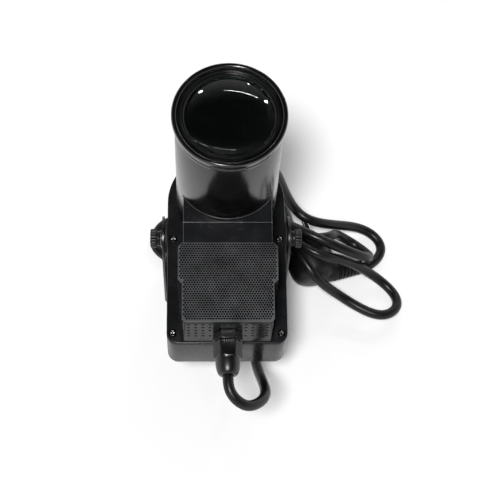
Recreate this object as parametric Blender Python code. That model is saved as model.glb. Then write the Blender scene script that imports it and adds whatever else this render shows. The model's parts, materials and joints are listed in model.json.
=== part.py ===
"""Pinspot light on a U-shaped bracket, standing lens up, with its power cord and plug.

World frame: +Z up, origin on the ground under the middle of the light. The
lens looks along +Z and the cable gland points along -Y. The head is drawn in
its own frame: x to the right, y away from the gland, z along the beam, with
its origin on the tube's axis in the front face of the housing's flange. The
head tilts about a line along X through both clamp knobs.
"""
import math

import bmesh
import bpy
from mathutils import Matrix, Vector

MM = 0.001

# Clearances and counts
GAP = 0.3 * MM
FINE_SIDES = 48
ROUND_SIDES = 36
SMALL_SIDES = 12
HOLE_SIDES = 6

# Stance of the head on its bracket
PIVOT_HEIGHT = 85.0 * MM
PIVOT_BEHIND_FACE = 18.0 * MM
PIVOT_BELOW_TUBE = 18.0 * MM

# Housings: an arched outline round the tube, cut straight at the foot
BODY_WIDTH = 76.0 * MM
BODY_FOOT = 96.9 * MM
FOOT_CORNER = 7.0 * MM
FLANGE_THICKNESS = 3.0 * MM
FLANGE_EDGE = 0.8 * MM
REAR_DEPTH = 37.7 * MM
REAR_EDGE = 5.0 * MM
WALL = 2.2 * MM

# Hollow block on the flange, its front sloping down to the foot
BLOCK_WIDTH = 54.6 * MM
BLOCK_SETBACK = 0.9 * MM
BLOCK_FOOT_HEIGHT = 36.0 * MM
BLOCK_SLOPE = 0.125
BLOCK_EDGE = 0.8 * MM
EAR_WIDTH = 3.2 * MM
EAR_START = 50.0 * MM
EAR_LENGTH = 21.5 * MM

# Perforated cover on the block
COVER_START = 47.0 * MM
COVER_THICKNESS = 1.2 * MM
COVER_OVERHANG = 0.75 * MM
COVER_CORNER = 2.5 * MM
COVER_HOLE = 3.2 * MM
COVER_PITCH = 6.0 * MM
COVER_RIM = 2.2 * MM
WINDOW_RIM = 3.2 * MM

# Vent holes in the block's underside
VENT_HOLE = 2.2 * MM
VENT_COLUMNS = 12
VENT_PITCH = 4.36 * MM
VENT_ROWS = 5
VENT_ROW_PITCH = 5.0 * MM
VENT_FIRST_ROW = 11.8 * MM

# Slots in the rear housing's back
SLOT_COUNT = 5
SLOT_LENGTH = 26.0 * MM
SLOT_WIDTH = 2.4 * MM
SLOT_PITCH = 6.0 * MM

# Tube, bezel and front lens
TUBE_RADIUS = 32.0 * MM
TUBE_WALL = 2.0 * MM
TUBE_LENGTH = 111.4 * MM
TUBE_FOOT_WIDTH = 6.5 * MM
TUBE_FOOT_THICKNESS = 4.0 * MM
BEZEL_SPIGOT = 6.0 * MM
BEZEL_NECK = 5.6 * MM
BEZEL_NECK_STEP = 0.6 * MM
RIM_STEP = 1.05 * MM
RIM_HEIGHT = 4.4 * MM
RIM_EDGE = 0.6 * MM
LENS_RADIUS = 27.5 * MM
LENS_EDGE = 2.2 * MM
LENS_DOME_RADIUS = 70.0 * MM
LENS_SHELF = 2.4 * MM
SHELF_THICKNESS = 1.5 * MM
GASKET_THICKNESS = 0.7 * MM
RING_WIDTH = 4.15 * MM
RING_GRIP = 1.75 * MM
RING_THICKNESS = 2.0 * MM

# Light engine
FLANGE_BORE = 22.0 * MM
BOARD_RADIUS = 12.0 * MM
LED_BOARD_THICKNESS = 1.6 * MM
LED_RADIUS = 3.5 * MM
LED_BASE = 0.8 * MM
LED_DOME = 1.2 * MM
COLLIMATOR_FOOT = 4.2 * MM
COLLIMATOR_RADIUS = 10.2 * MM
COLLIMATOR_HEIGHT = 10.4 * MM
COLLIMATOR_FLANGE = 1.5 * MM
HOLDER_WALL = 1.0 * MM

# Heat sink and the screws that clamp tube, flange and sink
SINK_WIDTH = 52.0 * MM
SINK_ABOVE = 24.0 * MM
SINK_BELOW = 28.0 * MM
SINK_BASE = 4.0 * MM
SINK_DEPTH = 23.0 * MM
FIN_THICKNESS = 1.6 * MM
FIN_PITCH = 5.0 * MM
CLAMP_SCREW_HEAD = 2.8 * MM
CLAMP_SCREW_RADIUS = 1.5 * MM
CLAMP_SCREW_BITE = 2.8 * MM

# Housing screws
HOUSING_SCREW_INSET = 3.8 * MM
HOUSING_SCREW_UPPER = 26.0 * MM
HOUSING_SCREW_LOWER = 90.0 * MM
HOUSING_SCREW_HEAD = 2.3 * MM
HOUSING_SCREW_HEAD_HEIGHT = 1.4 * MM
HOUSING_SCREW_RADIUS = 1.4 * MM
HOUSING_SCREW_LENGTH = 10.0 * MM
RECESS_DEPTH = 1.9 * MM
BOSS_WALL = 1.8 * MM

# Fan behind the cover
FAN_SIZE = 40.0 * MM
FAN_DEPTH = 10.0 * MM
FAN_CENTRE = 66.0 * MM
FAN_HEIGHT = 22.0 * MM
FAN_HOLE_PITCH = 32.0 * MM
FAN_RING = 1.1 * MM
FAN_HUB = 8.5 * MM
FAN_BLADES = 7
FAN_BLADE_PITCH = 35.0
FAN_SCREW_RADIUS = 1.3 * MM
FAN_FLOOR = 1.8 * MM
TAB_LENGTH = 10.0 * MM
TAB_OUTWARD = 1.4 * MM
TAB_THICKNESS = 2.0 * MM

# Power board in the rear housing
BOARD_WIDTH = 56.0 * MM
BOARD_START = 42.0 * MM
BOARD_LENGTH = 50.0 * MM
BOARD_THICKNESS = 1.6 * MM
STANDOFF_HEIGHT = 2.2 * MM
STANDOFF_RADIUS = 3.0 * MM
STANDOFF_INSET = 4.0 * MM
BOARD_SCREW_RADIUS = 1.2 * MM
TRANSFORMER_SIZE = (18.0 * MM, 20.0 * MM, 15.0 * MM)
TERMINAL_SIZE = (14.0 * MM, 10.0 * MM, 10.0 * MM)
CAPACITORS = {
    "input_capacitor": (5.0 * MM, 16.0 * MM, 10.0 * MM),
    "output_capacitor": (4.0 * MM, 12.0 * MM, -4.0 * MM),
}
TERMINAL_PLACE = 68.0 * MM

# Cable gland and cord
CORD_DIAMETER = 6.7 * MM
GLAND_HEIGHT = 16.5 * MM
GLAND_FLATS = 16.0 * MM
GLAND_BASE = 5.0 * MM
GLAND_NUT_HEX = 11.0 * MM
GLAND_DOME = 10.6 * MM
GLAND_DOME_FOOT = 7.8 * MM
GLAND_DOME_TIP = 4.7 * MM
GLAND_THREAD = 6.0 * MM
GLAND_COLLAR = 6.6 * MM
GLAND_COLLAR_LENGTH = 6.5 * MM
LOCKNUT_THICKNESS = 4.6 * MM

# Bracket of bent sheet
SHEET = 1.5 * MM
BRACKET_WIDTH = 29.0 * MM
BRACKET_BEND = 8.0 * MM
BRACKET_HOLE = 5.0 * MM

# Clamp knobs and what lies between them and the housing
DISC_THICKNESS = 1.6 * MM
DISC_RADIUS = 9.75 * MM
PIVOT_SCREW_RADIUS = 2.5 * MM
INSERT_WALL = 1.0 * MM
INSERT_LENGTH = 7.2 * MM
WASHER_RADIUS = 5.2 * MM
WASHER_THICKNESS = 0.9 * MM
KNOB_COLLAR_RADIUS = 4.8 * MM
KNOB_COLLAR = 1.9 * MM
KNOB_RADIUS = 6.25 * MM
KNOB_HEAD = 4.5 * MM
KNOB_CAP = 1.6 * MM
KNOB_FLUTES = 16
KNOB_FLUTE_RADIUS = 0.55 * MM

# Plug lying on its side, its pins pointing back past the light
PLUG_PLACE = (58.2 * MM, 46.8 * MM, 16.8 * MM)
PLUG_YAW = 13.0
PLUG_DROOP = 15.0
PLUG_RADIUS = 16.5 * MM
PLUG_RIM = 9.0 * MM
PLUG_DEPTH = 28.0 * MM
PLUG_NECK_PLACE = 20.0 * MM
PLUG_NECK_RADIUS = 7.6 * MM
PLUG_NECK = 17.0 * MM
RELIEF_LENGTH = 20.0 * MM
RELIEF_FOOT = 7.4 * MM
RELIEF_TIP = 4.8 * MM
RELIEF_RIBS = 6
RELIEF_CUT = 1.1 * MM
PIN_RADIUS = 2.4 * MM
PIN_LENGTH = 19.0 * MM
PIN_SPACING = 19.0 * MM
CLIP_WIDTH = 5.0 * MM
CLIP_THICKNESS = 0.8 * MM
CLIP_LENGTH = 9.0 * MM

# Route of the cord outside the light, led past these places in metres, from the gland to the plug
LEAD_LENGTH = 200.0 * MM
CORD_SAG = 1.2 * MM
CORD_LONG_STEP = 20.0 * MM
CORD_END = 1.0 * MM
CORD_LEAVE = 5.5 * MM
CORD_ARRIVE = 8.0 * MM
CORD_CHECK_STEP = 1.0 * MM
CORD_CHECK_APART = 26
CORD_ROUTE = [
    (0.002, -0.093, 0.118), (0.012, -0.1, 0.112), (0.025, -0.089, 0.1), (0.023, -0.075, 0.086),
    (0.022, -0.063, 0.062), (0.02, -0.045, 0.036), (0.02, -0.027, 0.012), (0.014, -0.004, 0.003),
    (-0.002, 0.022, 0.009), (-0.029, 0.038, 0.006), (-0.056, 0.051, 0.0035), (-0.042, 0.079, 0.0035),
    (-0.007, 0.067, 0.005), (0.014, 0.064, 0.03), (0.045, 0.044, 0.042), (0.065, 0.026, 0.048),
    (0.083, 0.032, 0.033), (0.112, 0.029, 0.001), (0.128, 0.008, 0.005), (0.109, -0.009, 0.014),
    (0.079, 0.013, 0.013), (0.06, 0.014, 0.04), (0.045, 0.05, 0.036), (0.022, 0.052, 0.007),
    (0.004, 0.085, 0.0035), (0.027, 0.103, 0.005), (0.047, 0.08, 0.013), (0.044, 0.043, 0.039),
    (0.077, 0.044, 0.041), (0.077, 0.059, 0.017), (0.099, 0.052, 0.0025), (0.108, 0.029, 0.028),
    (0.057, 0.04, 0.055), (0.036, 0.064, 0.031), (0.009, 0.06, 0.011), (-0.006, 0.086, 0.003),
    (0, 0.12, 0.004), (0.034, 0.122, 0.0035), (0.04, 0.099, 0.023), (0.051, 0.05, 0.044),
    (0.1, 0.072, 0.0035), (0.118, 0.052, 0.003),
]

# Places that follow from the sizes above
HALF_BODY = BODY_WIDTH / 2
HALF_BLOCK = BLOCK_WIDTH / 2
HALF_ANGLE_SIN = math.sin(math.radians(45.0))
FLANGE_Z = PIVOT_HEIGHT + PIVOT_BEHIND_FACE
BLOCK_FOOT = BODY_FOOT - BLOCK_SETBACK
GLAND_TIP = BLOCK_FOOT + 2 * GAP + GLAND_BASE + GLAND_NUT_HEX + GLAND_DOME
TUBE_Y = (GLAND_TIP - HALF_BODY) / 2
HEAD_ORIGIN = Vector((0.0, TUBE_Y, FLANGE_Z))
PIVOT = Vector((0.0, TUBE_Y - PIVOT_BELOW_TUBE, PIVOT_HEIGHT))
ARM_INNER = HALF_BODY + DISC_THICKNESS + 2 * GAP
ARM_OUTER = ARM_INNER + SHEET
TUBE_INNER = TUBE_RADIUS - TUBE_WALL
TUBE_TOP = GAP + TUBE_LENGTH
CORD_RADIUS = CORD_DIAMETER / 2
CORD_BORE = CORD_RADIUS + GAP
REAR_TOP = -FLANGE_THICKNESS - GAP
REAR_BACK = REAR_TOP - REAR_DEPTH
REAR_FLOOR = REAR_BACK + WALL
SCREW_X = HALF_BODY - HOUSING_SCREW_INSET
SINK_TOP = -FLANGE_THICKNESS - GAP
LED_BOARD_TOP = SINK_TOP + GAP + LED_BOARD_THICKNESS
CLAMP_RADIUS = TUBE_INNER - TUBE_FOOT_WIDTH / 2
BOARD_BOTTOM = REAR_FLOOR + STANDOFF_HEIGHT + GAP
BOARD_TOP = BOARD_BOTTOM + BOARD_THICKNESS


def block_front(distance):
    """Height of the block's sloping front, at a distance from the tube's axis towards the foot."""
    return BLOCK_FOOT_HEIGHT + BLOCK_SLOPE * (BLOCK_FOOT - distance)


def clear_scene():
    """Remove every object, so that only the light is left."""
    for old in list(bpy.data.objects):
        bpy.data.objects.remove(old, do_unlink=True)


def finish(name, colour, roughness, metallic=0.0):
    """Make a Principled material in one colour."""
    material = bpy.data.materials.new(name)
    material.use_nodes = True
    shader = material.node_tree.nodes["Principled BSDF"]
    shader.inputs["Base Color"].default_value = (*colour, 1.0)
    shader.inputs["Roughness"].default_value = roughness
    shader.inputs["Metallic"].default_value = metallic
    return material


def arc(centre, radius, start, stop, steps):
    """Points on an arc in a plane, angles in degrees, both ends included."""
    points = []
    for step in range(steps + 1):
        angle = math.radians(start + (stop - start) * step / steps)
        points.append((centre[0] + radius * math.cos(angle), centre[1] + radius * math.sin(angle)))
    return points


def circle(centre, radius, sides):
    """Points round a circle, the first not repeated."""
    return arc(centre, radius, 0.0, 360.0, sides)[:-1]


def rectangle(x_low, x_high, y_low, y_high):
    """Corners of a rectangle."""
    return [(x_low, y_low), (x_high, y_low), (x_high, y_high), (x_low, y_high)]


def arched_outline(inset=0.0):
    """Outline of the housings: a half round over the tube, straight sides and a rounded foot."""
    half = HALF_BODY - inset
    foot = BODY_FOOT - inset
    corner = FOOT_CORNER - inset
    top = arc((0.0, 0.0), half, 0.0, 180.0, 36)
    left = arc((-half + corner, -foot + corner), corner, 180.0, 270.0, 5)
    right = arc((half - corner, -foot + corner), corner, 270.0, 360.0, 5)
    return top + left + right


def prism(outline, low, high, along="z"):
    """Draw a flat outline out from low to high, along z, x or y."""
    places = {
        "z": lambda u, v, w: Vector((u, v, w)),
        "x": lambda u, v, w: Vector((w, u, v)),
        "y": lambda u, v, w: Vector((u, w, v)),
    }
    place = places[along]
    bm = bmesh.new()
    face = bm.faces.new([bm.verts.new(place(u, v, low)) for u, v in outline])
    drawn = bmesh.ops.extrude_face_region(bm, geom=[face])
    moved = [item for item in drawn["geom"] if isinstance(item, bmesh.types.BMVert)]
    bmesh.ops.translate(bm, vec=place(0.0, 0.0, high) - place(0.0, 0.0, low), verts=moved)
    bmesh.ops.recalc_face_normals(bm, faces=bm.faces)
    return bm


def turned(profile, sides=ROUND_SIDES):
    """Spin a profile of (radius, height) points about z; one that starts and ends on the axis is solid."""
    bm = bmesh.new()
    verts = [bm.verts.new((radius, 0.0, height)) for radius, height in profile]
    on_axis = profile[0][0] == 0.0 and profile[-1][0] == 0.0
    pairs = list(zip(verts, verts[1:]))
    if not on_axis:
        pairs.append((verts[-1], verts[0]))
    edges = [bm.edges.new(pair) for pair in pairs]
    bmesh.ops.spin(bm, geom=verts + edges, cent=(0, 0, 0), axis=(0, 0, 1),
                   angle=math.tau, steps=sides, use_merge=True)
    bmesh.ops.remove_doubles(bm, verts=bm.verts, dist=1e-7)
    bmesh.ops.recalc_face_normals(bm, faces=bm.faces)
    return bm


def ring(inner, outer, low, high, sides=ROUND_SIDES):
    """A plain ring or bush about z."""
    return turned([(inner, low), (outer, low), (outer, high), (inner, high)], sides)


def rod(radius, low, high, sides=SMALL_SIDES):
    """A plain round bar about z."""
    return turned([(0.0, low), (radius, low), (radius, high), (0.0, high)], sides)


def soften(bm, width, segments=2, choose=lambda edge: True):
    """Round chosen edges of a solid."""
    edges = [edge for edge in bm.edges if choose(edge)]
    bmesh.ops.bevel(bm, geom=edges, offset=width, segments=segments, profile=0.5, affect="EDGES")
    return bm


def moved(bm, x=0.0, y=0.0, z=0.0):
    """Shift a solid."""
    bmesh.ops.translate(bm, vec=(x, y, z), verts=bm.verts)
    return bm


def turned_to(bm, axis):
    """Lay a solid that is drawn about z along +x, -x or -y."""
    turns = {
        "+x": Matrix.Rotation(math.radians(90.0), 4, "Y"),
        "-x": Matrix.Rotation(math.radians(-90.0), 4, "Y"),
        "-y": Matrix.Rotation(math.radians(90.0), 4, "X"),
    }
    bm.transform(turns[axis])
    return bm


def gathered(solids):
    """Put several separate solids into one."""
    whole = bmesh.new()
    for solid in solids:
        mesh = bpy.data.meshes.new("gathered")
        solid.to_mesh(mesh)
        solid.free()
        whole.from_mesh(mesh)
        bpy.data.meshes.remove(mesh)
    return whole


def add_object(name, bm):
    """Turn a solid into an object of the scene, with round parts shaded smooth."""
    mesh = bpy.data.meshes.new(name)
    bm.to_mesh(mesh)
    bm.free()
    mesh.shade_smooth()
    mesh.set_sharp_from_angle(angle=math.radians(32.0))
    made = bpy.data.objects.new(name, mesh)
    bpy.context.scene.collection.objects.link(made)
    return made


def add_axis(name, place, parent=None):
    """Add an empty on a joint's axis."""
    axis = bpy.data.objects.new(name, None)
    axis.empty_display_size = 20.0 * MM
    bpy.context.scene.collection.objects.link(axis)
    axis.location = place
    if parent is not None:
        axis.location = place - parent.location
        axis.parent = parent
    return axis


def add_piece(name, bm, material, axis=None, origin=None):
    """Add a sub-part drawn in a frame with the given origin, carried by a joint's axis."""
    piece = add_object(name, bm)
    piece.data.materials.append(material)
    place_on(piece, axis, origin)
    return piece


def place_on(piece, axis, origin):
    """Put an object at a world place, under the empty that carries it."""
    place = Vector((0.0, 0.0, 0.0)) if origin is None else Vector(origin)
    if axis is not None:
        piece.parent = axis
        carried = axis
        while carried is not None:
            place = place - carried.location
            carried = carried.parent
    piece.location = place


def reshape(piece, operation, bm):
    """Cut a helper solid out of a piece or join it on; both are drawn in the same frame."""
    count = len(piece.modifiers) + 1
    helper = add_object(f"{piece.name}_helper_{count}", bm)
    helper.hide_render = True
    helper.display_type = "WIRE"
    helper.parent = piece.parent
    helper.location = piece.location
    modifier = piece.modifiers.new(f"{operation.lower()}_{count}", "BOOLEAN")
    modifier.operation = operation
    modifier.solver = "EXACT"
    modifier.object = helper
    return helper


def cut(piece, bm):
    """Cut a helper solid out of a piece."""
    return reshape(piece, "DIFFERENCE", bm)


def join(piece, bm):
    """Join a helper solid onto a piece."""
    return reshape(piece, "UNION", bm)


def corners(x, *distances):
    """Places left and right of the middle, at distances from the tube's axis towards the foot."""
    return [(side * x, -distance) for distance in distances for side in (-1, 1)]


def hexagon(flats):
    """Corners of a hexagon with the given width over its flats, one corner to each side."""
    return circle((0.0, 0.0), flats / math.sqrt(3.0), 6)


def screw(head, head_height, radius, length, sides=SMALL_SIDES):
    """A screw about z, the underside of its head at 0 and its point down."""
    point = radius * 0.7
    profile = [(0.0, -length), (point * 0.5, -length), (radius, -length + point), (radius, 0.0),
               (head, 0.0), (head, head_height * 0.6), (head * 0.72, head_height), (0.0, head_height)]
    return turned(profile, sides)


def cross_recess(width, arm, low, high):
    """A plus-shaped driver recess."""
    half = arm / 2
    reach = width / 2
    outline = [(half, half), (half, reach), (-half, reach), (-half, half), (-reach, half), (-reach, -half),
               (-half, -half), (-half, -reach), (half, -reach), (half, -half), (reach, -half),
               (reach, half)]
    return prism(outline, low, high)


def front_housing(head, material):
    """Flange with the hollow block, saddle wall round the tube, ears, vents and screw seats."""
    flange = prism(arched_outline(), -FLANGE_THICKNESS, 0.0)
    soften(flange, FLANGE_EDGE, 2, lambda edge: all(vert.co.z > -GAP for vert in edge.verts))
    piece = add_piece("front_housing", flange, material, head, HEAD_ORIGIN)
    sunk = FLANGE_THICKNESS / 2
    side = [(0.0, -sunk), (-BLOCK_FOOT, -sunk), (-BLOCK_FOOT, block_front(BLOCK_FOOT)),
            (0.0, block_front(0.0))]
    join(piece, soften(prism(side, -HALF_BLOCK, HALF_BLOCK, "x"), BLOCK_EDGE))
    ear_end = EAR_START + EAR_LENGTH
    ear = [(-EAR_START, -sunk), (-ear_end, -sunk), (-ear_end, block_front(ear_end) - GAP),
           (-EAR_START, block_front(EAR_START) - GAP)]
    ear_root = HALF_BLOCK - WALL
    ear_tip = HALF_BLOCK + EAR_WIDTH
    join(piece, gathered([prism(ear, ear_root, ear_tip, "x"), prism(ear, -ear_tip, -ear_root, "x")]))
    cut(piece, rod(TUBE_RADIUS + GAP, 0.0, 2 * block_front(0.0), ROUND_SIDES))
    cavity = cut(piece, block_cavity())
    cut(cavity, rod(TUBE_RADIUS + GAP + WALL, -BODY_FOOT, BODY_FOOT, ROUND_SIDES))
    cut(piece, block_window())
    join(piece, fan_tabs())
    cut(piece, flange_holes())
    cut(piece, foot_wall_holes())
    return piece


def block_cavity():
    """Space inside the block, open to the rear housing."""
    under = -2 * FLANGE_THICKNESS
    foot = BLOCK_FOOT - WALL
    side = [(0.0, under), (-foot, under), (-foot, block_front(foot) - WALL), (0.0, block_front(0.0) - WALL)]
    return prism(side, -HALF_BLOCK + WALL, HALF_BLOCK - WALL, "x")


def block_window():
    """Window in the block's front for the air that comes through the cover."""
    start = COVER_START + WINDOW_RIM
    end = BLOCK_FOOT - WINDOW_RIM
    half = HALF_BLOCK - WINDOW_RIM
    return prism(rectangle(-half, half, -end, -start), BLOCK_FOOT_HEIGHT - 2 * WALL, block_front(0.0))


def fan_tabs():
    """Four shelves on the block's side walls that carry the fan's corners."""
    top = FAN_HEIGHT - GAP
    half_pitch = FAN_HOLE_PITCH / 2
    inner = half_pitch - TAB_LENGTH / 2 + TAB_OUTWARD
    outer = HALF_BLOCK - WALL / 2
    tabs = []
    for place in (FAN_CENTRE - half_pitch, FAN_CENTRE + half_pitch):
        for side in (-1, 1):
            low, high = sorted((side * inner, side * outer))
            shelf = rectangle(low, high, -place - TAB_LENGTH / 2, -place + TAB_LENGTH / 2)
            tabs.append(prism(shelf, top - TAB_THICKNESS, top))
    return gathered(tabs)


def flange_holes():
    """Light bore, screw seats and screw holes through the flange, and pilot holes in the fan's shelves."""
    deep = -2 * FLANGE_THICKNESS
    holes = [rod(FLANGE_BORE, deep, FLANGE_THICKNESS, ROUND_SIDES)]
    for x, y in corners(SCREW_X, HOUSING_SCREW_UPPER, HOUSING_SCREW_LOWER):
        seat = HOUSING_SCREW_HEAD + GAP
        shank = HOUSING_SCREW_RADIUS + GAP
        stepped = [(0.0, deep), (shank, deep), (shank, -RECESS_DEPTH), (seat, -RECESS_DEPTH),
                   (seat, FLANGE_THICKNESS), (0.0, FLANGE_THICKNESS)]
        holes.append(moved(turned(stepped, 16), x, y))
    for x, y in clamp_places():
        holes.append(moved(rod(CLAMP_SCREW_RADIUS + GAP, deep, FLANGE_THICKNESS, HOLE_SIDES), x, y))
    for x, y in fan_corners():
        pilot = rod(FAN_SCREW_RADIUS + GAP, FAN_HEIGHT - 2 * TAB_THICKNESS, FAN_HEIGHT + TAB_THICKNESS,
                    HOLE_SIDES)
        holes.append(moved(pilot, x, y))
    return gathered(holes)


def clamp_places():
    """Places of the screws that clamp tube, flange and heat sink, on the diagonals."""
    reach = CLAMP_RADIUS * HALF_ANGLE_SIN
    return [(x * reach, y * reach) for x in (-1, 1) for y in (-1, 1)]


def fan_corners():
    """Places of the fan's corner holes; two screws on one diagonal hold it."""
    half = FAN_HOLE_PITCH / 2
    return corners(half, FAN_CENTRE - half, FAN_CENTRE + half)


def foot_wall_holes():
    """The gland's hole in the block's foot wall, and the rows of vent holes round it."""
    start = BLOCK_FOOT - 2 * WALL
    end = BLOCK_FOOT + WALL
    holes = [moved(turned_to(rod(GLAND_THREAD + GAP, start, end, 24), "-y"), z=GLAND_HEIGHT)]
    kept_off = GLAND_FLATS / math.sqrt(3.0) + VENT_HOLE
    for column in range(VENT_COLUMNS):
        x = (column - (VENT_COLUMNS - 1) / 2) * VENT_PITCH
        for row in range(VENT_ROWS):
            z = VENT_FIRST_ROW + row * VENT_ROW_PITCH
            if math.hypot(x, z - GLAND_HEIGHT) > kept_off:
                holes.append(moved(turned_to(rod(VENT_HOLE / 2, start, end, HOLE_SIDES), "-y"), x=x, z=z))
    return gathered(holes)


def cover_outline():
    """Outline of the cover in its own plane: wings over the ears, cut corners above, round ones below."""
    length = (BLOCK_FOOT - COVER_START) / math.cos(math.atan(BLOCK_SLOPE))
    half = HALF_BLOCK + COVER_OVERHANG
    wing = HALF_BLOCK + EAR_WIDTH
    wing_end = EAR_START + EAR_LENGTH - COVER_START
    corner = COVER_CORNER
    right = [(wing - corner, 0.0), (wing, -corner), (wing, -wing_end + corner / 2),
             (wing - corner / 2, -wing_end), (half, -wing_end)]
    right += arc((half - corner, -length + corner), corner, 0.0, -90.0, 4)
    left = [(-x, y) for x, y in reversed(right)]
    return right + left, length


def mesh_cover(head, material):
    """Perforated cover that lies on the block's sloping front."""
    outline, length = cover_outline()
    slope = math.atan(BLOCK_SLOPE)
    place = HEAD_ORIGIN + Vector((0.0, -COVER_START, block_front(COVER_START) + 1.5 * GAP))
    piece = add_piece("mesh_cover", prism(outline, 0.0, COVER_THICKNESS), material, head, place)
    half = HALF_BLOCK - WINDOW_RIM - COVER_RIM / 2
    row_pitch = COVER_PITCH * math.sqrt(3.0) / 2
    window = length - 2 * (WINDOW_RIM + COVER_RIM / 2)
    rows = int(window / row_pitch) + 1
    holes = []
    for row in range(rows):
        y = -length / 2 + (row - (rows - 1) / 2) * row_pitch
        count = int(2 * half / COVER_PITCH) + row % 2
        for column in range(count):
            x = (column - (count - 1) / 2) * COVER_PITCH
            holes.append(moved(rod(COVER_HOLE / 2, -COVER_THICKNESS, 2 * COVER_THICKNESS, 6), x, y))
    holes_helper = cut(piece, gathered(holes))
    for item in (piece, holes_helper):
        item.rotation_euler.x = slope
    return piece


def housing_screws(head, material):
    """Four cross-head screws sunk in the flange."""
    top = HOUSING_SCREW_HEAD_HEIGHT
    arm = HOUSING_SCREW_HEAD * 0.3
    for index, (x, y) in enumerate(corners(SCREW_X, HOUSING_SCREW_UPPER, HOUSING_SCREW_LOWER), 1):
        solid = screw(HOUSING_SCREW_HEAD, top, HOUSING_SCREW_RADIUS, HOUSING_SCREW_LENGTH, 16)
        place = HEAD_ORIGIN + Vector((x, y, -RECESS_DEPTH + GAP))
        piece = add_piece(f"housing_screw_{index}", solid, material, head, place)
        cut(piece, cross_recess(2 * HOUSING_SCREW_HEAD * 0.62, arm, top / 2, top + arm))


def rear_housing(head, material):
    """Shell behind the flange, with screw bosses, pivot bosses, board standoffs and back slots."""
    shell = prism(arched_outline(), REAR_BACK, REAR_TOP)
    middle = (REAR_BACK + REAR_TOP) / 2
    soften(shell, REAR_EDGE, 4, lambda edge: all(vert.co.z < middle for vert in edge.verts))
    piece = add_piece("rear_housing", shell, material, head, HEAD_ORIGIN)
    cut(piece, prism(arched_outline(WALL), REAR_FLOOR, REAR_TOP + WALL))
    bosses = []
    sunk = WALL / 2
    for x, y in corners(SCREW_X, HOUSING_SCREW_UPPER, HOUSING_SCREW_LOWER):
        bosses.append(moved(rod(HOUSING_SCREW_RADIUS + GAP + BOSS_WALL, REAR_FLOOR - sunk, REAR_TOP), x, y))
    for x, y in board_corners():
        bosses.append(moved(rod(STANDOFF_RADIUS, REAR_FLOOR - sunk, REAR_FLOOR + STANDOFF_HEIGHT), x, y))
    join(piece, gathered(bosses))
    join(piece, gathered([pivot_boss("+x"), pivot_boss("-x")]))
    cut(piece, rear_housing_holes())
    return piece


def pivot_boss(axis):
    """Thick round boss inside a side wall, for the threaded insert."""
    radius = PIVOT_SCREW_RADIUS + INSERT_WALL + 2 * GAP + BOSS_WALL
    start = HALF_BODY - INSERT_LENGTH - 2 * GAP - WALL
    boss = turned_to(rod(radius, start, HALF_BODY - WALL / 2, 20), axis)
    return moved(boss, y=-PIVOT_BELOW_TUBE, z=-PIVOT_BEHIND_FACE)


def rear_housing_holes():
    """Holes for the screws and inserts, and the slots in the back."""
    holes = []
    screw_end = -RECESS_DEPTH - HOUSING_SCREW_LENGTH - WALL
    for x, y in corners(SCREW_X, HOUSING_SCREW_UPPER, HOUSING_SCREW_LOWER):
        holes.append(moved(rod(HOUSING_SCREW_RADIUS + GAP, screw_end, REAR_TOP + WALL), x, y))
    for x, y in board_corners():
        pilot = rod(BOARD_SCREW_RADIUS + GAP, REAR_BACK + WALL / 2, BOARD_BOTTOM, HOLE_SIDES)
        holes.append(moved(pilot, x, y))
    insert = PIVOT_SCREW_RADIUS + INSERT_WALL + 2 * GAP
    start = HALF_BODY - INSERT_LENGTH - 2 * GAP
    for axis in ("+x", "-x"):
        bore = turned_to(rod(insert, start, HALF_BODY + WALL, 20), axis)
        holes.append(moved(bore, y=-PIVOT_BELOW_TUBE, z=-PIVOT_BEHIND_FACE))
    for index in range(SLOT_COUNT):
        y = (index - (SLOT_COUNT - 1) / 2) * SLOT_PITCH
        slot = rectangle(-SLOT_LENGTH / 2, SLOT_LENGTH / 2, y - SLOT_WIDTH / 2, y + SLOT_WIDTH / 2)
        holes.append(prism(slot, REAR_BACK - WALL, REAR_FLOOR + WALL / 2))
    return gathered(holes)


def lens_tube(head, material):
    """Long tube, with a turned-in foot that the clamp screws hold on the flange."""
    foot = TUBE_INNER - TUBE_FOOT_WIDTH
    profile = [(foot, GAP), (TUBE_RADIUS, GAP), (TUBE_RADIUS, TUBE_TOP), (TUBE_INNER, TUBE_TOP),
               (TUBE_INNER, GAP + TUBE_FOOT_THICKNESS), (foot, GAP + TUBE_FOOT_THICKNESS)]
    piece = add_piece("lens_tube", turned(profile, FINE_SIDES), material, head, HEAD_ORIGIN)
    holes = []
    for x, y in clamp_places():
        pilot = rod(CLAMP_SCREW_RADIUS + GAP, -GAP, 2 * GAP + CLAMP_SCREW_BITE, HOLE_SIDES)
        holes.append(moved(pilot, x, y))
    cut(piece, gathered(holes))
    return piece


def bezel_levels():
    """Heights in the bezel: seam on the tube, lens shelf, underside of the retaining ring, and front."""
    seam = TUBE_TOP + GAP
    shelf = seam + LENS_SHELF
    step = shelf + 2 * GAP + GASKET_THICKNESS + LENS_EDGE + GAP + ring_lift()
    front = seam + BEZEL_NECK + RIM_HEIGHT
    return seam, shelf, step, front


def ring_lift():
    """How far the dome rises from the lens's edge to the inner edge of the retaining ring."""
    return lens_height(LENS_RADIUS - RING_GRIP) - lens_height(LENS_RADIUS)


def lens_height(radius):
    """Height of the lens's dome at a radius, from the level of the dome's centre."""
    return math.sqrt(LENS_DOME_RADIUS ** 2 - radius ** 2)


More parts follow.
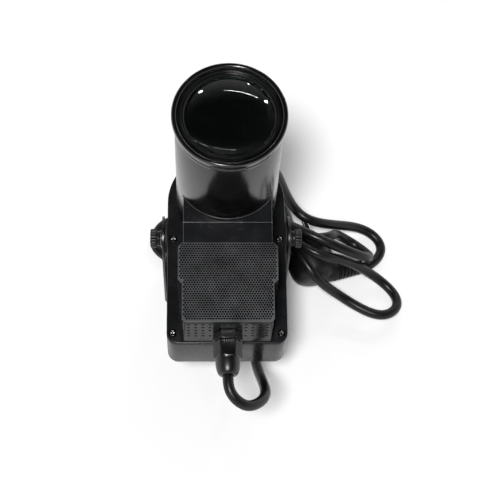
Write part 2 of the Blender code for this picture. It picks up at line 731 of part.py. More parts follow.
def lens_bezel(head, material):
    """Ring on the tube's end: a spigot inside the tube, a neck, the lens's shelf and the wide rim."""
    seam, shelf, step, front = bezel_levels()
    neck = TUBE_RADIUS + BEZEL_NECK_STEP
    rim = neck + RIM_STEP
    spigot = TUBE_INNER - GAP
    bore = LENS_RADIUS + GAP
    shelf_bore = LENS_RADIUS - LENS_SHELF
    ring_bore = LENS_RADIUS - RING_GRIP + RING_WIDTH + GAP
    rim_foot = seam + BEZEL_NECK
    profile = [(spigot - SHELF_THICKNESS, seam - BEZEL_SPIGOT), (spigot, seam - BEZEL_SPIGOT),
               (spigot, seam),
               (neck, seam), (neck, rim_foot)]
    profile += arc((rim - RIM_EDGE, rim_foot + RIM_EDGE), RIM_EDGE, -90.0, 0.0, 2)
    profile += arc((rim - RIM_EDGE, front - RIM_EDGE), RIM_EDGE, 0.0, 90.0, 3)
    profile += [(ring_bore + RIM_EDGE, front), (ring_bore, front - RIM_EDGE), (ring_bore, step), (bore, step),
                (bore, shelf), (shelf_bore, shelf), (shelf_bore, shelf - SHELF_THICKNESS),
                (spigot - SHELF_THICKNESS, shelf - SHELF_THICKNESS)]
    return add_piece("lens_bezel", turned(profile, FINE_SIDES), material, head, HEAD_ORIGIN)


def lens_pieces(head, rubber, glass, metal):
    """Gasket, front lens and retaining ring, stacked on the bezel's shelf."""
    _, shelf, step, _ = bezel_levels()
    gasket = ring(LENS_RADIUS - LENS_SHELF + GAP, LENS_RADIUS, shelf + GAP, shelf + GAP + GASKET_THICKNESS)
    add_piece("lens_gasket", gasket, rubber, head, HEAD_ORIGIN)
    back = shelf + 2 * GAP + GASKET_THICKNESS
    dome_centre = back + LENS_EDGE - lens_height(LENS_RADIUS)
    dome = [(0.0, back), (LENS_RADIUS, back)]
    rings = 6
    for index in range(rings + 1):
        radius = LENS_RADIUS * (1.0 - index / rings)
        dome.append((radius, dome_centre + lens_height(radius)))
    add_piece("front_lens", turned(dome, ROUND_SIDES), glass, head, HEAD_ORIGIN)
    inner = LENS_RADIUS - RING_GRIP
    low = step + GAP
    high = low + RING_THICKNESS
    section = [(inner, low), (inner + RING_WIDTH, low), (inner + RING_WIDTH, high), (inner + RIM_EDGE, high),
               (inner, high - RIM_EDGE)]
    add_piece("lens_retaining_ring", turned(section, FINE_SIDES), metal, head, HEAD_ORIGIN)


def light_engine(head, finishes):
    """LED on its board, with the collimator in its holder above."""
    board = turned([(0.0, SINK_TOP + GAP), (BOARD_RADIUS, SINK_TOP + GAP), (BOARD_RADIUS, LED_BOARD_TOP),
                    (0.0, LED_BOARD_TOP)], 32)
    add_piece("led_board", board, finishes["board_white"], head, HEAD_ORIGIN)
    base = LED_BOARD_TOP + GAP
    lit = base + LED_BASE
    bulb = [(0.0, base), (LED_RADIUS, base), (LED_RADIUS, lit), (LED_RADIUS * 0.86, lit),
            (LED_RADIUS * 0.6, lit + LED_DOME * 0.7), (0.0, lit + LED_DOME)]
    add_piece("led_emitter", turned(bulb, 20), finishes["phosphor"], head, HEAD_ORIGIN)
    foot = lit + LED_DOME + GAP
    top = foot + COLLIMATOR_HEIGHT
    rest = COLLIMATOR_RADIUS + GAP
    lens = [(0.0, foot), (COLLIMATOR_FOOT, foot), (COLLIMATOR_RADIUS * 0.85, foot + COLLIMATOR_HEIGHT * 0.55),
            (COLLIMATOR_RADIUS, top), (rest + HOLDER_WALL, top), (rest + HOLDER_WALL, top + COLLIMATOR_FLANGE),
            (0.0, top + COLLIMATOR_FLANGE)]
    add_piece("collimator_lens", turned(lens, 32), finishes["clear"], head, HEAD_ORIGIN)
    holder = ring(rest, rest + HOLDER_WALL, base, top - GAP, 32)
    add_piece("collimator_holder", holder, finishes["plastic"], head, HEAD_ORIGIN)


def heat_sink(head, material):
    """Finned block behind the flange; fins stand clear of the clamp screws' heads."""
    half = SINK_WIDTH / 2
    base = SINK_TOP - SINK_BASE
    outline = [(-half, SINK_TOP), (-half, base)]
    reach = CLAMP_RADIUS * HALF_ANGLE_SIN
    clear = CLAMP_SCREW_HEAD + FIN_THICKNESS / 2 + GAP
    count = int((half - FIN_THICKNESS / 2) / FIN_PITCH)
    for index in range(-count, count + 1):
        x = index * FIN_PITCH
        if abs(abs(x) - reach) > clear:
            outline += [(x - FIN_THICKNESS / 2, base), (x - FIN_THICKNESS / 2, SINK_TOP - SINK_DEPTH),
                        (x + FIN_THICKNESS / 2, SINK_TOP - SINK_DEPTH), (x + FIN_THICKNESS / 2, base)]
    outline += [(half, base), (half, SINK_TOP)]
    piece = add_piece("heat_sink", prism(outline, -SINK_BELOW, SINK_ABOVE, "y"), material, head, HEAD_ORIGIN)
    holes = []
    for x, y in clamp_places():
        holes.append(moved(rod(CLAMP_SCREW_RADIUS + GAP, base - GAP, SINK_TOP + GAP, HOLE_SIDES), x, y))
    cut(piece, gathered(holes))
    return piece


def clamp_screws(head, material):
    """Four screws from behind, through sink and flange into the tube's foot."""
    under = SINK_TOP - SINK_BASE - GAP
    length = CLAMP_SCREW_BITE + GAP - under
    for index, (x, y) in enumerate(clamp_places(), 1):
        solid = screw(CLAMP_SCREW_HEAD, CLAMP_SCREW_RADIUS, CLAMP_SCREW_RADIUS, length)
        solid.transform(Matrix.Rotation(math.pi, 4, "X"))
        add_piece(f"heat_sink_screw_{index}", solid, material, head, HEAD_ORIGIN + Vector((x, y, under)))


def fan(head, frame_material, rotor_material, screw_material):
    """Axial fan on the shelves: frame with struts and hub, rotor on its own axis, and two screws."""
    half = FAN_SIZE / 2
    top = FAN_HEIGHT + FAN_DEPTH
    body = prism(rectangle(-half, half, -half, half), FAN_HEIGHT, top)
    soften(body, 3.0 * MM, 3, lambda edge: abs(edge.verts[0].co.z - edge.verts[1].co.z) > GAP)
    place = HEAD_ORIGIN + Vector((0.0, -FAN_CENTRE, 0.0))
    frame = add_piece("fan_frame", body, frame_material, head, place)
    bore = half - FAN_RING
    cut(frame, rod(bore, FAN_HEIGHT - WALL, top + WALL, 36))
    join(frame, rod(FAN_HUB, FAN_HEIGHT, FAN_HEIGHT + FAN_FLOOR, 24))
    reach = half - FAN_RING / 2
    join(frame, prism(rectangle(-reach, reach, -MM, MM), FAN_HEIGHT, FAN_HEIGHT + FAN_FLOOR))
    join(frame, prism(rectangle(-MM, MM, -reach, reach), FAN_HEIGHT, FAN_HEIGHT + FAN_FLOOR))
    shaft = FAN_SCREW_RADIUS
    cut(frame, rod(shaft + GAP, FAN_HEIGHT + GAP, FAN_HEIGHT + 2 * FAN_FLOOR, SMALL_SIDES))
    half_pitch = FAN_HOLE_PITCH / 2
    holes = []
    for x, y in corners(half_pitch, -half_pitch, half_pitch):
        holes.append(moved(rod(FAN_SCREW_RADIUS + 2 * GAP, FAN_HEIGHT - WALL, top + WALL, HOLE_SIDES), x, y))
    cut(frame, gathered(holes))
    spin = add_axis("fan_axis", place + Vector((0.0, 0.0, FAN_HEIGHT)), head)
    low = FAN_FLOOR + GAP
    high = FAN_DEPTH - GAP
    hub = turned([(0.0, 2 * GAP), (shaft, 2 * GAP), (shaft, low), (FAN_HUB, low), (FAN_HUB, high), (0.0, high)], 24)
    rotor = add_piece("fan_rotor", hub, rotor_material, spin, spin_place(place))
    tip = bore - 2 * GAP
    blade_height = (high - low) * 0.8
    blades = []
    for index in range(FAN_BLADES):
        blade = prism(rectangle(FAN_HUB * 0.9, tip * 0.97, -FAN_RING / 2, FAN_RING / 2), -blade_height / 2,
                      blade_height / 2)
        blade.transform(Matrix.Rotation(math.radians(FAN_BLADE_PITCH), 4, "X"))
        moved(blade, z=(low + high) / 2)
        blade.transform(Matrix.Rotation(math.tau * index / FAN_BLADES, 4, "Z"))
        blades.append(blade)
    join(rotor, gathered(blades))
    length = FAN_DEPTH + TAB_THICKNESS + GAP
    for index, (x, y) in enumerate(fan_corners()[::3], 1):
        solid = screw(2 * FAN_SCREW_RADIUS, FAN_SCREW_RADIUS, FAN_SCREW_RADIUS, length)
        add_piece(f"fan_screw_{index}", solid, screw_material, head, HEAD_ORIGIN + Vector((x, y, top + GAP)))


def spin_place(place):
    """World place of the fan's base, from which its rotor is drawn."""
    return place + Vector((0.0, 0.0, FAN_HEIGHT))


def board_corners():
    """Places of the power board's four screws."""
    x = BOARD_WIDTH / 2 - STANDOFF_INSET
    return corners(x, BOARD_START + STANDOFF_INSET, BOARD_START + BOARD_LENGTH - STANDOFF_INSET)


def power_board(head, finishes):
    """Power board on its standoffs, with what is soldered on it and its screws."""
    half = BOARD_WIDTH / 2
    outline = rectangle(-half, half, -BOARD_START - BOARD_LENGTH, -BOARD_START)
    board = add_piece("power_board", prism(outline, BOARD_BOTTOM, BOARD_TOP), finishes["board_green"], head,
                      HEAD_ORIGIN)
    holes = []
    length = BOARD_THICKNESS + STANDOFF_HEIGHT + GAP
    for index, (x, y) in enumerate(board_corners(), 1):
        holes.append(moved(rod(BOARD_SCREW_RADIUS + GAP, BOARD_BOTTOM - GAP, BOARD_TOP + GAP, HOLE_SIDES), x, y))
        solid = screw(2 * BOARD_SCREW_RADIUS, BOARD_SCREW_RADIUS, BOARD_SCREW_RADIUS, length)
        place = HEAD_ORIGIN + Vector((x, y, BOARD_TOP + GAP))
        add_piece(f"board_screw_{index}", solid, finishes["steel"], head, place)
    cut(board, gathered(holes))
    seat = BOARD_TOP + GAP
    width, length, height = TERMINAL_SIZE
    terminal = prism(rectangle(-width / 2, width / 2, -TERMINAL_PLACE - length / 2, -TERMINAL_PLACE + length / 2),
                     seat, seat + height)
    add_piece("terminal_block", terminal, finishes["terminal_green"], head, HEAD_ORIGIN)
    coil_width, coil_length, coil_height = TRANSFORMER_SIZE
    right = -width / 2 - MM
    core = prism(rectangle(right - coil_width, right, -TERMINAL_PLACE - coil_length / 2,
                           -TERMINAL_PLACE + coil_length / 2), seat, seat + coil_height)
    add_piece("transformer", soften(core, MM, 1), finishes["core"], head, HEAD_ORIGIN)
    left = width / 2 + MM
    for name, (radius, height, along) in CAPACITORS.items():
        place = HEAD_ORIGIN + Vector((left + 2 * radius, -TERMINAL_PLACE + along, seat))
        add_piece(name, rod(radius, 0.0, height, 20), finishes["can"], head, place)


def gland(head, finishes):
    """Cable gland through the block's foot wall: body, locknut inside, seal and dome nut."""
    place = HEAD_ORIGIN + Vector((0.0, 0.0, GLAND_HEIGHT))
    face = BLOCK_FOOT + GAP
    collar_start = face + GLAND_BASE
    collar_end = collar_start + GLAND_COLLAR_LENGTH
    inside = BLOCK_FOOT - WALL - GAP - LOCKNUT_THICKNESS - GAP
    body = add_piece("gland_body", turned_to(prism(hexagon(GLAND_FLATS), face, collar_start), "-y"),
                     finishes["gland"], head, place)
    tube = turned([(0.0, inside), (GLAND_THREAD, inside), (GLAND_THREAD, face + MM), (GLAND_COLLAR, face + MM),
                   (GLAND_COLLAR, collar_end), (0.0, collar_end)], 24)
    join(body, turned_to(tube, "-y"))
    seal_bore = CORD_BORE + MM
    seat = collar_start - GAP
    bore = turned([(0.0, inside - MM), (CORD_BORE, inside - MM), (CORD_BORE, seat), (seal_bore + GAP, seat),
                   (seal_bore + GAP, collar_end + MM), (0.0, collar_end + MM)], 24)
    cut(body, turned_to(bore, "-y"))
    locknut = add_piece("gland_locknut", turned_to(prism(hexagon(GLAND_FLATS), inside + GAP,
                        inside + GAP + LOCKNUT_THICKNESS), "-y"), finishes["gland"], head, place)
    cut(locknut, turned_to(rod(GLAND_THREAD + GAP, inside - MM, BLOCK_FOOT, 24), "-y"))
    seal = ring(CORD_BORE, seal_bore, seat + GAP, collar_end, 24)
    add_piece("gland_seal", turned_to(seal, "-y"), finishes["rubber"], head, place)
    nut_start = collar_start + GAP
    nut_end = nut_start + GLAND_NUT_HEX
    nut = add_piece("gland_dome_nut", turned_to(prism(hexagon(GLAND_FLATS), nut_start, nut_end), "-y"),
                    finishes["gland"], head, place)
    dome = [(0.0, nut_end - MM), (GLAND_DOME_FOOT, nut_end - MM), (GLAND_DOME_FOOT, nut_end)]
    steps = 5
    for index in range(1, steps + 1):
        share = index / steps
        radius = GLAND_DOME_FOOT - (GLAND_DOME_FOOT - GLAND_DOME_TIP) * (1.0 - math.cos(share * math.pi / 2))
        dome.append((radius, nut_end + GLAND_DOME * math.sin(share * math.pi / 2)))
    dome.append((0.0, GLAND_TIP))
    join(nut, turned_to(turned(dome, 32), "-y"))
    hollow = [(0.0, nut_start - MM), (GLAND_COLLAR + GAP, nut_start - MM), (GLAND_COLLAR + GAP, collar_end + GAP),
              (CORD_BORE, collar_end + GAP + GLAND_COLLAR - CORD_BORE), (CORD_BORE, GLAND_TIP + MM),
              (0.0, GLAND_TIP + MM)]
    cut(nut, turned_to(turned(hollow, 24), "-y"))


def smooth_curve(points):
    """Closely spaced points on a smooth curve that the given places lead, with the curve's two ends on them."""
    route = [Vector(point) for point in points]
    ends = [2 * route[0] - route[1]] + route + [2 * route[-1] - route[-2]]
    fine = []
    steps = 24
    for a, b, c, d in zip(ends, ends[1:], ends[2:], ends[3:]):
        for step in range(steps):
            t = step / steps
            fine.append(((1 - t) ** 3 * a + (3 * t ** 3 - 6 * t ** 2 + 4) * b
                         + (3 * t + 3 * t ** 2 - 3 * t ** 3 + 1) * c + t ** 3 * d) / 6)
    fine.append(route[-1])
    return fine


def thinned(fine):
    """Fewer points on a curve, closer together where it bends, with one just inside either end."""
    efforts = [0.0]
    for index in range(1, len(fine)):
        run = (fine[index] - fine[index - 1]).length
        after = fine[min(index + 1, len(fine) - 1)] - fine[index]
        turn = (fine[index] - fine[index - 1]).angle(after, 0.0)
        wanted = min(CORD_LONG_STEP, math.sqrt(8 * CORD_SAG * run / max(turn, 1e-6)))
        efforts.append(efforts[-1] + run / wanted)
    count = max(2, round(efforts[-1]))
    path = []
    index = 0
    for step in range(count + 1):
        target = efforts[-1] * step / count
        while index < len(fine) - 2 and efforts[index + 1] < target:
            index += 1
        share = (target - efforts[index]) / (efforts[index + 1] - efforts[index])
        path.append(fine[index].lerp(fine[index + 1], share))
    inside_start = path[0] + (fine[1] - fine[0]).normalized() * CORD_END
    inside_end = path[-1] + (fine[-2] - fine[-1]).normalized() * CORD_END
    return [path[0], inside_start] + path[1:-1] + [inside_end, path[-1]]


def least_gap(path):
    """Least gap between stretches of a cord that are more than a bend apart, measured on points a step apart."""
    places = []
    for start, end in zip(path, path[1:]):
        count = max(1, round((end - start).length / CORD_CHECK_STEP))
        places += [start.lerp(end, index / count) for index in range(count)]
    nearest = min((place - other).length for index, place in enumerate(places)
                  for other in places[index + CORD_CHECK_APART:])
    return nearest - CORD_DIAMETER


def cord_tube(name, path, material, axis=None, sides=2):
    """A length of cord along a path, with closed ends."""
    curve = bpy.data.curves.new(name, "CURVE")
    curve.dimensions = "3D"
    curve.bevel_depth = CORD_RADIUS
    curve.bevel_resolution = sides
    curve.use_fill_caps = True
    spline = curve.splines.new("POLY")
    spline.points.add(len(path) - 1)
    for point, place in zip(spline.points, path):
        point.co = (*place, 1.0)
    tube = bpy.data.objects.new(name, curve)
    curve.materials.append(material)
    bpy.context.scene.collection.objects.link(tube)
    if axis is not None:
        tube.parent = axis
        tube.location = -axis.location
    return tube


def mains_lead_inner(head, material):
    """The cord's end inside the light: in through the gland and down to the terminal block."""
    seat = BOARD_TOP + GAP + TERMINAL_SIZE[2] + GAP
    bend = 17.0 * MM
    turn = (0.0, -TERMINAL_PLACE - bend, GLAND_HEIGHT - bend)
    down = arc((turn[1], turn[2]), bend, 90.0, 0.0, 5)
    route = [(0.0, -GLAND_TIP, GLAND_HEIGHT), (0.0, (turn[1] - GLAND_TIP) / 2, GLAND_HEIGHT)]
    route += [(0.0, y, z) for y, z in down]
    route += [(0.0, -TERMINAL_PLACE, (turn[2] + seat) / 2), (0.0, -TERMINAL_PLACE, seat)]
    path = [HEAD_ORIGIN + point for point in thinned(smooth_curve(route))]
    cord_tube("mains_lead_inner", path, material, head)


def u_bracket(material):
    """U-shaped bracket of bent sheet, its arms round at the top, with three bolt holes."""
    outer = ARM_OUTER
    inner = ARM_INNER
    bend = BRACKET_BEND
    tall = PIVOT_HEIGHT + BRACKET_WIDTH
    outline = [(-outer, tall)]
    outline += arc((-outer + bend, bend), bend, 180.0, 270.0, 6)
    outline += arc((outer - bend, bend), bend, 270.0, 360.0, 6)
    outline += [(outer, tall), (inner, tall)]
    outline += arc((outer - bend, bend), bend - SHEET, 360.0, 270.0, 6)
    outline += arc((-outer + bend, bend), bend - SHEET, 270.0, 180.0, 6)
    outline += [(-inner, tall)]
    half = BRACKET_WIDTH / 2
    place = Vector((0.0, PIVOT.y, 0.0))
    piece = add_piece("u_bracket", prism(outline, -half, half, "y"), material, None, place)
    side = [(-half - MM, -MM), (half + MM, -MM), (half + MM, PIVOT_HEIGHT), (half, PIVOT_HEIGHT)]
    side += arc((0.0, PIVOT_HEIGHT), half, 0.0, 180.0, 20)[1:-1]
    side += [(-half, PIVOT_HEIGHT), (-half - MM, PIVOT_HEIGHT)]
    reshape(piece, "INTERSECT", prism(side, -outer - MM, outer + MM, "x"))
    holes = [rod(BRACKET_HOLE, -SHEET, 2 * SHEET, 20)]
    for axis in ("+x", "-x"):
        bore = turned_to(rod(PIVOT_SCREW_RADIUS + GAP, inner - MM, outer + MM, 16), axis)
        holes.append(moved(bore, z=PIVOT_HEIGHT))
    cut(piece, gathered(holes))
    return piece


def clamp_side(side, head, finishes):
    """Everything on one clamp screw: insert, friction disc, washer, screw and knob."""
    axis = "+x" if side == "right" else "-x"
    bore = PIVOT_SCREW_RADIUS + GAP
    insert = ring(bore, bore + INSERT_WALL, HALF_BODY - GAP - INSERT_LENGTH, HALF_BODY - GAP, 20)
    add_piece(f"pivot_insert_{side}", turned_to(insert, axis), finishes["brass"], head, PIVOT)
    disc = ring(bore, DISC_RADIUS, HALF_BODY + GAP, HALF_BODY + GAP + DISC_THICKNESS, 32)
    add_piece(f"friction_disc_{side}", turned_to(disc, axis), finishes["rubber"], None, PIVOT)
    washer_top = ARM_OUTER + GAP + WASHER_THICKNESS
    washer = ring(bore, WASHER_RADIUS, ARM_OUTER + GAP, washer_top, 24)
    add_piece(f"knob_washer_{side}", turned_to(washer, axis), finishes["steel"], None, PIVOT)
    spin = add_axis(f"knob_axis_{side}", PIVOT, head)
    collar = washer_top + GAP
    shoulder = collar + KNOB_COLLAR
    top = shoulder + KNOB_HEAD
    edge = RIM_EDGE
    profile = [(bore, collar), (KNOB_COLLAR_RADIUS, collar), (KNOB_COLLAR_RADIUS, shoulder),
               (KNOB_RADIUS - edge, shoulder), (KNOB_RADIUS, shoulder + edge), (KNOB_RADIUS, top - edge),
               (KNOB_RADIUS - edge, top), (0.0, top), (0.0, top - KNOB_CAP), (bore, top - KNOB_CAP)]
    solid = turned_open(profile)
    knob = add_piece(f"knob_{side}", turned_to(solid, axis), finishes["knob"], spin, PIVOT)
    flutes = []
    for x, y in circle((0.0, 0.0), KNOB_RADIUS + KNOB_FLUTE_RADIUS / 2, KNOB_FLUTES):
        flutes.append(moved(rod(KNOB_FLUTE_RADIUS, shoulder - GAP, top + GAP, HOLE_SIDES), x, y))
    cut(knob, turned_to(gathered(flutes), axis))
    start = HALF_BODY - GAP - INSERT_LENGTH
    stud = rod(PIVOT_SCREW_RADIUS, start, top - KNOB_CAP - GAP, 16)
    add_piece(f"knob_screw_{side}", turned_to(stud, axis), finishes["steel"], spin, PIVOT)


def turned_open(profile):
    """Turn a profile whose two axis points lie in its middle, such as a cap with a blind bore."""
    first = next(index for index, point in enumerate(profile) if point[0] == 0.0)
    return turned(profile[first + 1:] + profile[:first + 1], 32)


def plug_frame():
    """Frame of the plug: z out along its pins, x along its strain relief, y the way its pins stand apart."""
    yaw = Matrix.Rotation(math.radians(PLUG_YAW), 4, "Z")
    roll = Matrix.Rotation(math.radians(PLUG_DROOP), 4, "Y")
    stand = Matrix.Rotation(math.radians(-90.0), 4, "X")
    return Matrix.Translation(PLUG_PLACE) @ yaw @ roll @ stand


def plug(finishes):
    """Plug lying on its side: body, ribbed strain relief, two pins and two earth clips."""
    frame = plug_frame()
    steps = 8
    profile = [(0.0, 0.0), (PLUG_RADIUS - MM, 0.0), (PLUG_RADIUS, -MM)]
    for index in range(steps + 1):
        share = index / steps
        narrow = math.sqrt(1.0 - 0.35 * share ** 2 - 0.65 * share ** 6)
        profile.append((PLUG_RADIUS * narrow, -PLUG_RIM - share * (PLUG_DEPTH - PLUG_RIM)))
    profile[-1] = (0.0, -PLUG_DEPTH)
    body = turned(list(reversed(profile)), 28)
    body.transform(frame)
    shell = add_piece("plug_body", body, finishes["plug"], None, None)
    neck = turned_to(rod(PLUG_NECK_RADIUS, 0.0, PLUG_NECK, 24), "+x")
    moved(neck, z=-PLUG_NECK_PLACE)
    neck.transform(frame)
    join(shell, neck)
    notches = []
    half = CLIP_WIDTH / 2
    for index, side in enumerate((-1, 1), 1):
        deep, out = sorted((side * (PLUG_RADIUS - CLIP_THICKNESS - GAP), side * (PLUG_RADIUS + MM)))
        notches.append(prism(rectangle(deep, out, -half - GAP, half + GAP), -CLIP_LENGTH - GAP, MM))
        low, high = sorted((side * (PLUG_RADIUS - CLIP_THICKNESS), side * PLUG_RADIUS))
        clip = prism(rectangle(low, high, -half, half), -CLIP_LENGTH, 0.0)
        clip.transform(frame)
        add_piece(f"plug_earth_clip_{index}", clip, finishes["steel"], None, None)
        point = PIN_RADIUS * 0.6
        bar = turned([(0.0, GAP), (PIN_RADIUS, GAP), (PIN_RADIUS, PIN_LENGTH - point),
                      (point, PIN_LENGTH), (0.0, PIN_LENGTH)], 16)
        moved(bar, y=side * PIN_SPACING / 2)
        bar.transform(frame)
        add_piece(f"plug_pin_{index}", bar, finishes["nickel"], None, None)
    notch = gathered(notches)
    notch.transform(frame)
    cut(shell, notch)
    relief = turned_to(relief_solid(), "+x")
    moved(relief, z=-PLUG_NECK_PLACE)
    relief.transform(frame)
    add_piece("plug_strain_relief", relief, finishes["plug"], None, None)


def relief_solid():
    """Tapered strain relief, its ribs and the cuts between them made by one rule."""
    start = PLUG_NECK + GAP
    pitch = RELIEF_LENGTH / (RELIEF_RIBS + 1)
    profile = [(0.0, start), (RELIEF_FOOT, start), (RELIEF_FOOT, start + pitch / 2)]
    for index in range(1, RELIEF_RIBS + 1):
        share = index / (RELIEF_RIBS + 1)
        outer = RELIEF_FOOT + (RELIEF_TIP - RELIEF_FOOT) * share
        place = start + index * pitch
        profile += [(outer - RELIEF_CUT, place - pitch * 0.28), (outer, place - pitch * 0.2),
                    (outer, place + pitch * 0.3)]
    profile += [(RELIEF_TIP, start + RELIEF_LENGTH), (0.0, start + RELIEF_LENGTH)]
    return turned(profile, 16)


def cord(finishes):
    """The cord outside the light: the lead down from the gland, and the loops that end at the plug."""
    leave = Vector((0.0, TUBE_Y - GLAND_TIP - GAP, FLANGE_Z + GLAND_HEIGHT))
    leave_on = leave - Vector((0.0, CORD_LEAVE, 0.0))
    frame = plug_frame()
    arrive = frame @ Vector((PLUG_NECK + 2 * GAP + RELIEF_LENGTH, 0.0, -PLUG_NECK_PLACE))
    arrive_from = frame @ Vector((PLUG_NECK + RELIEF_LENGTH + CORD_ARRIVE, 0.0, -PLUG_NECK_PLACE))
    fine = smooth_curve([leave, leave_on] + CORD_ROUTE + [arrive_from, arrive])
    length = 0.0
    split = 0
    while length < LEAD_LENGTH:
        length += (fine[split + 1] - fine[split]).length
        split += 1
    lead = thinned(fine[:split + 1])
    apart = fine[split] + (fine[split + 1] - fine[split]).normalized() * GAP
    loops = thinned([apart] + fine[split + 2:])
    cord_tube("cord_lead", lead, finishes["cord"])
    cord_tube("cord_loops", loops, finishes["cord"])
    print(f"least gap of the cord's loops to themselves: {least_gap(loops) / MM:.2f} mm")
    print(f"least gap of the whole cord to itself: {least_gap(lead + loops) / MM:.2f} mm")


def main():
    """Build the whole light."""
    clear_scene()
    finishes = {
        "housing": finish("housing_black", (0.02, 0.02, 0.021), 0.35),
        "tube": finish("tube_black", (0.015, 0.015, 0.016), 0.25, 0.4),
        "bezel": finish("bezel_black", (0.014, 0.014, 0.015), 0.2, 0.3),
        "glass": finish("lens_glass", (0.12, 0.2, 0.19), 0.03),
        "ring": finish("ring_black", (0.05, 0.05, 0.052), 0.3, 0.6),
        "cover": finish("cover_black", (0.018, 0.018, 0.018), 0.5, 0.2),
        "rubber": finish("rubber_black", (0.02, 0.02, 0.02), 0.8),
        "plastic": finish("inner_plastic", (0.03, 0.03, 0.03), 0.5),
        "clear": finish("clear_plastic", (0.8, 0.85, 0.85), 0.05),
        "phosphor": finish("led_phosphor", (0.85, 0.7, 0.15), 0.4),
        "board_white": finish("led_board_white", (0.8, 0.8, 0.78), 0.4),
        "aluminium": finish("sink_aluminium", (0.6, 0.61, 0.62), 0.35, 1.0),
        "steel": finish("screw_steel", (0.45, 0.45, 0.46), 0.3, 1.0),
        "dark_steel": finish("screw_black_steel", (0.06, 0.06, 0.06), 0.35, 0.8),
        "nickel": finish("pin_nickel", (0.7, 0.69, 0.66), 0.18, 1.0),
        "brass": finish("insert_brass", (0.6, 0.45, 0.18), 0.3, 1.0),
        "fan": finish("fan_plastic", (0.02, 0.02, 0.02), 0.45),
        "rotor": finish("rotor_plastic", (0.03, 0.03, 0.03), 0.4),
        "board_green": finish("board_green", (0.02, 0.16, 0.06), 0.45),
        "terminal_green": finish("terminal_green", (0.05, 0.35, 0.12), 0.45),
        "core": finish("transformer_yellow", (0.6, 0.42, 0.06), 0.5),
        "can": finish("capacitor_sleeve", (0.03, 0.03, 0.06), 0.35),
        "gland": finish("gland_nylon", (0.02, 0.02, 0.02), 0.4),
        "bracket": finish("bracket_powder_coat", (0.016, 0.016, 0.017), 0.42),
        "knob": finish("knob_black", (0.015, 0.015, 0.015), 0.4),
        "cord": finish("cord_rubber", (0.017, 0.017, 0.017), 0.55),
        "plug": finish("plug_rubber", (0.02, 0.02, 0.02), 0.5),
    }
    head = add_axis("head_axis", PIVOT)
    front_housing(head, finishes["housing"])
    rear_housing(head, finishes["housing"])
    housing_screws(head, finishes["dark_steel"])
    mesh_cover(head, finishes["cover"])
    lens_tube(head, finishes["tube"])
    lens_bezel(head, finishes["bezel"])
    lens_pieces(head, finishes["rubber"], finishes["glass"], finishes["ring"])
    light_engine(head, finishes)
    heat_sink(head, finishes["aluminium"])
    clamp_screws(head, finishes["steel"])
    fan(head, finishes["fan"], finishes["rotor"], finishes["steel"])
    power_board(head, finishes)
    gland(head, finishes)
    mains_lead_inner(head, finishes["cord"])
    u_bracket(finishes["bracket"])
    clamp_side("left", head, finishes)
    clamp_side("right", head, finishes)
    plug(finishes)
    cord(finishes)


main()
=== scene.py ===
# %% [markdown]
# # A pinspot light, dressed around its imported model
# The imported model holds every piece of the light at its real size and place. This lesson puts the
# looks around it: a camera, the cord, a finish for each piece, and finer meshes for the pieces that
# a viewer sees first. Everything is in metres, with the light standing lens up on its bracket.

# %% Load the frame
import json
import math

import bmesh
import bpy
from mathutils import Matrix, Vector


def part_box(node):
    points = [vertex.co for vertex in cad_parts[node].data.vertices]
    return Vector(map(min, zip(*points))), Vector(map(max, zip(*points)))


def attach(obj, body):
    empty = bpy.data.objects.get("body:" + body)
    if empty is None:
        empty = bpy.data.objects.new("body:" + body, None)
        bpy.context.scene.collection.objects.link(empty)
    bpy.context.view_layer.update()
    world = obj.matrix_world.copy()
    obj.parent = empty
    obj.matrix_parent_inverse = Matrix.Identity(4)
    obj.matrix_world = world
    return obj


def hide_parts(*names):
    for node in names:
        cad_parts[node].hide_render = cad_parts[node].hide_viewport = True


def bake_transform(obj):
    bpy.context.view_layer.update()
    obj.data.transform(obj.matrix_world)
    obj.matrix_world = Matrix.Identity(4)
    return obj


MM = 0.001
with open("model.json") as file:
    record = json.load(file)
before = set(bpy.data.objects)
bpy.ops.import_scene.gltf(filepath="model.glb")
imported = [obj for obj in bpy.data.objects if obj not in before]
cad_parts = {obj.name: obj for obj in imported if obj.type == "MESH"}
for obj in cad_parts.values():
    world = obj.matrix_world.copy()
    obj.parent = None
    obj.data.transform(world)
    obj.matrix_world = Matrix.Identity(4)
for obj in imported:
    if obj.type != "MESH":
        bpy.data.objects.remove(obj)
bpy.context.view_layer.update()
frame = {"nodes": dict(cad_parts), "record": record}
nodes = frame["nodes"]
scene = bpy.context.scene
print("pieces in the frame:", len(nodes))

# %% [markdown]
# ## Camera
# The picture looks down steeply from the gland's side, through a long lens, so the tube hardly
# narrows towards the bracket. A camera's matrix has its right, up and backward directions as
# columns. Naming the view direction and crossing it with the right one gives all three exactly.

# %% Camera
CAMERA_PLACE = Vector((-0.0164, -0.3393, 0.9417))
VIEW_DIRECTION = Vector((0.035, 0.3824, -0.9233)).normalized()
CAMERA_RIGHT = Vector((0.9988, -0.0134, 0.0323))
CAMERA_LENS = 101.9
CAMERA_SHIFT = (-0.0012, 0.0022)
SENSOR_WIDTH = 36.0
NEAREST = 0.05
FURTHEST = 50.0


def make_camera():
    """The camera at the picture's view."""
    camera_up = CAMERA_RIGHT.cross(VIEW_DIRECTION).normalized()
    right = VIEW_DIRECTION.cross(camera_up)
    turn = Matrix((right, camera_up, -VIEW_DIRECTION)).transposed()
    data = bpy.data.cameras.new("camera")
    data.lens = CAMERA_LENS
    data.sensor_width = SENSOR_WIDTH
    data.shift_x, data.shift_y = CAMERA_SHIFT
    data.clip_start = NEAREST
    data.clip_end = FURTHEST
    camera = bpy.data.objects.new("camera", data)
    scene.collection.objects.link(camera)
    camera.matrix_world = Matrix.Translation(CAMERA_PLACE) @ turn.to_4x4()
    return camera


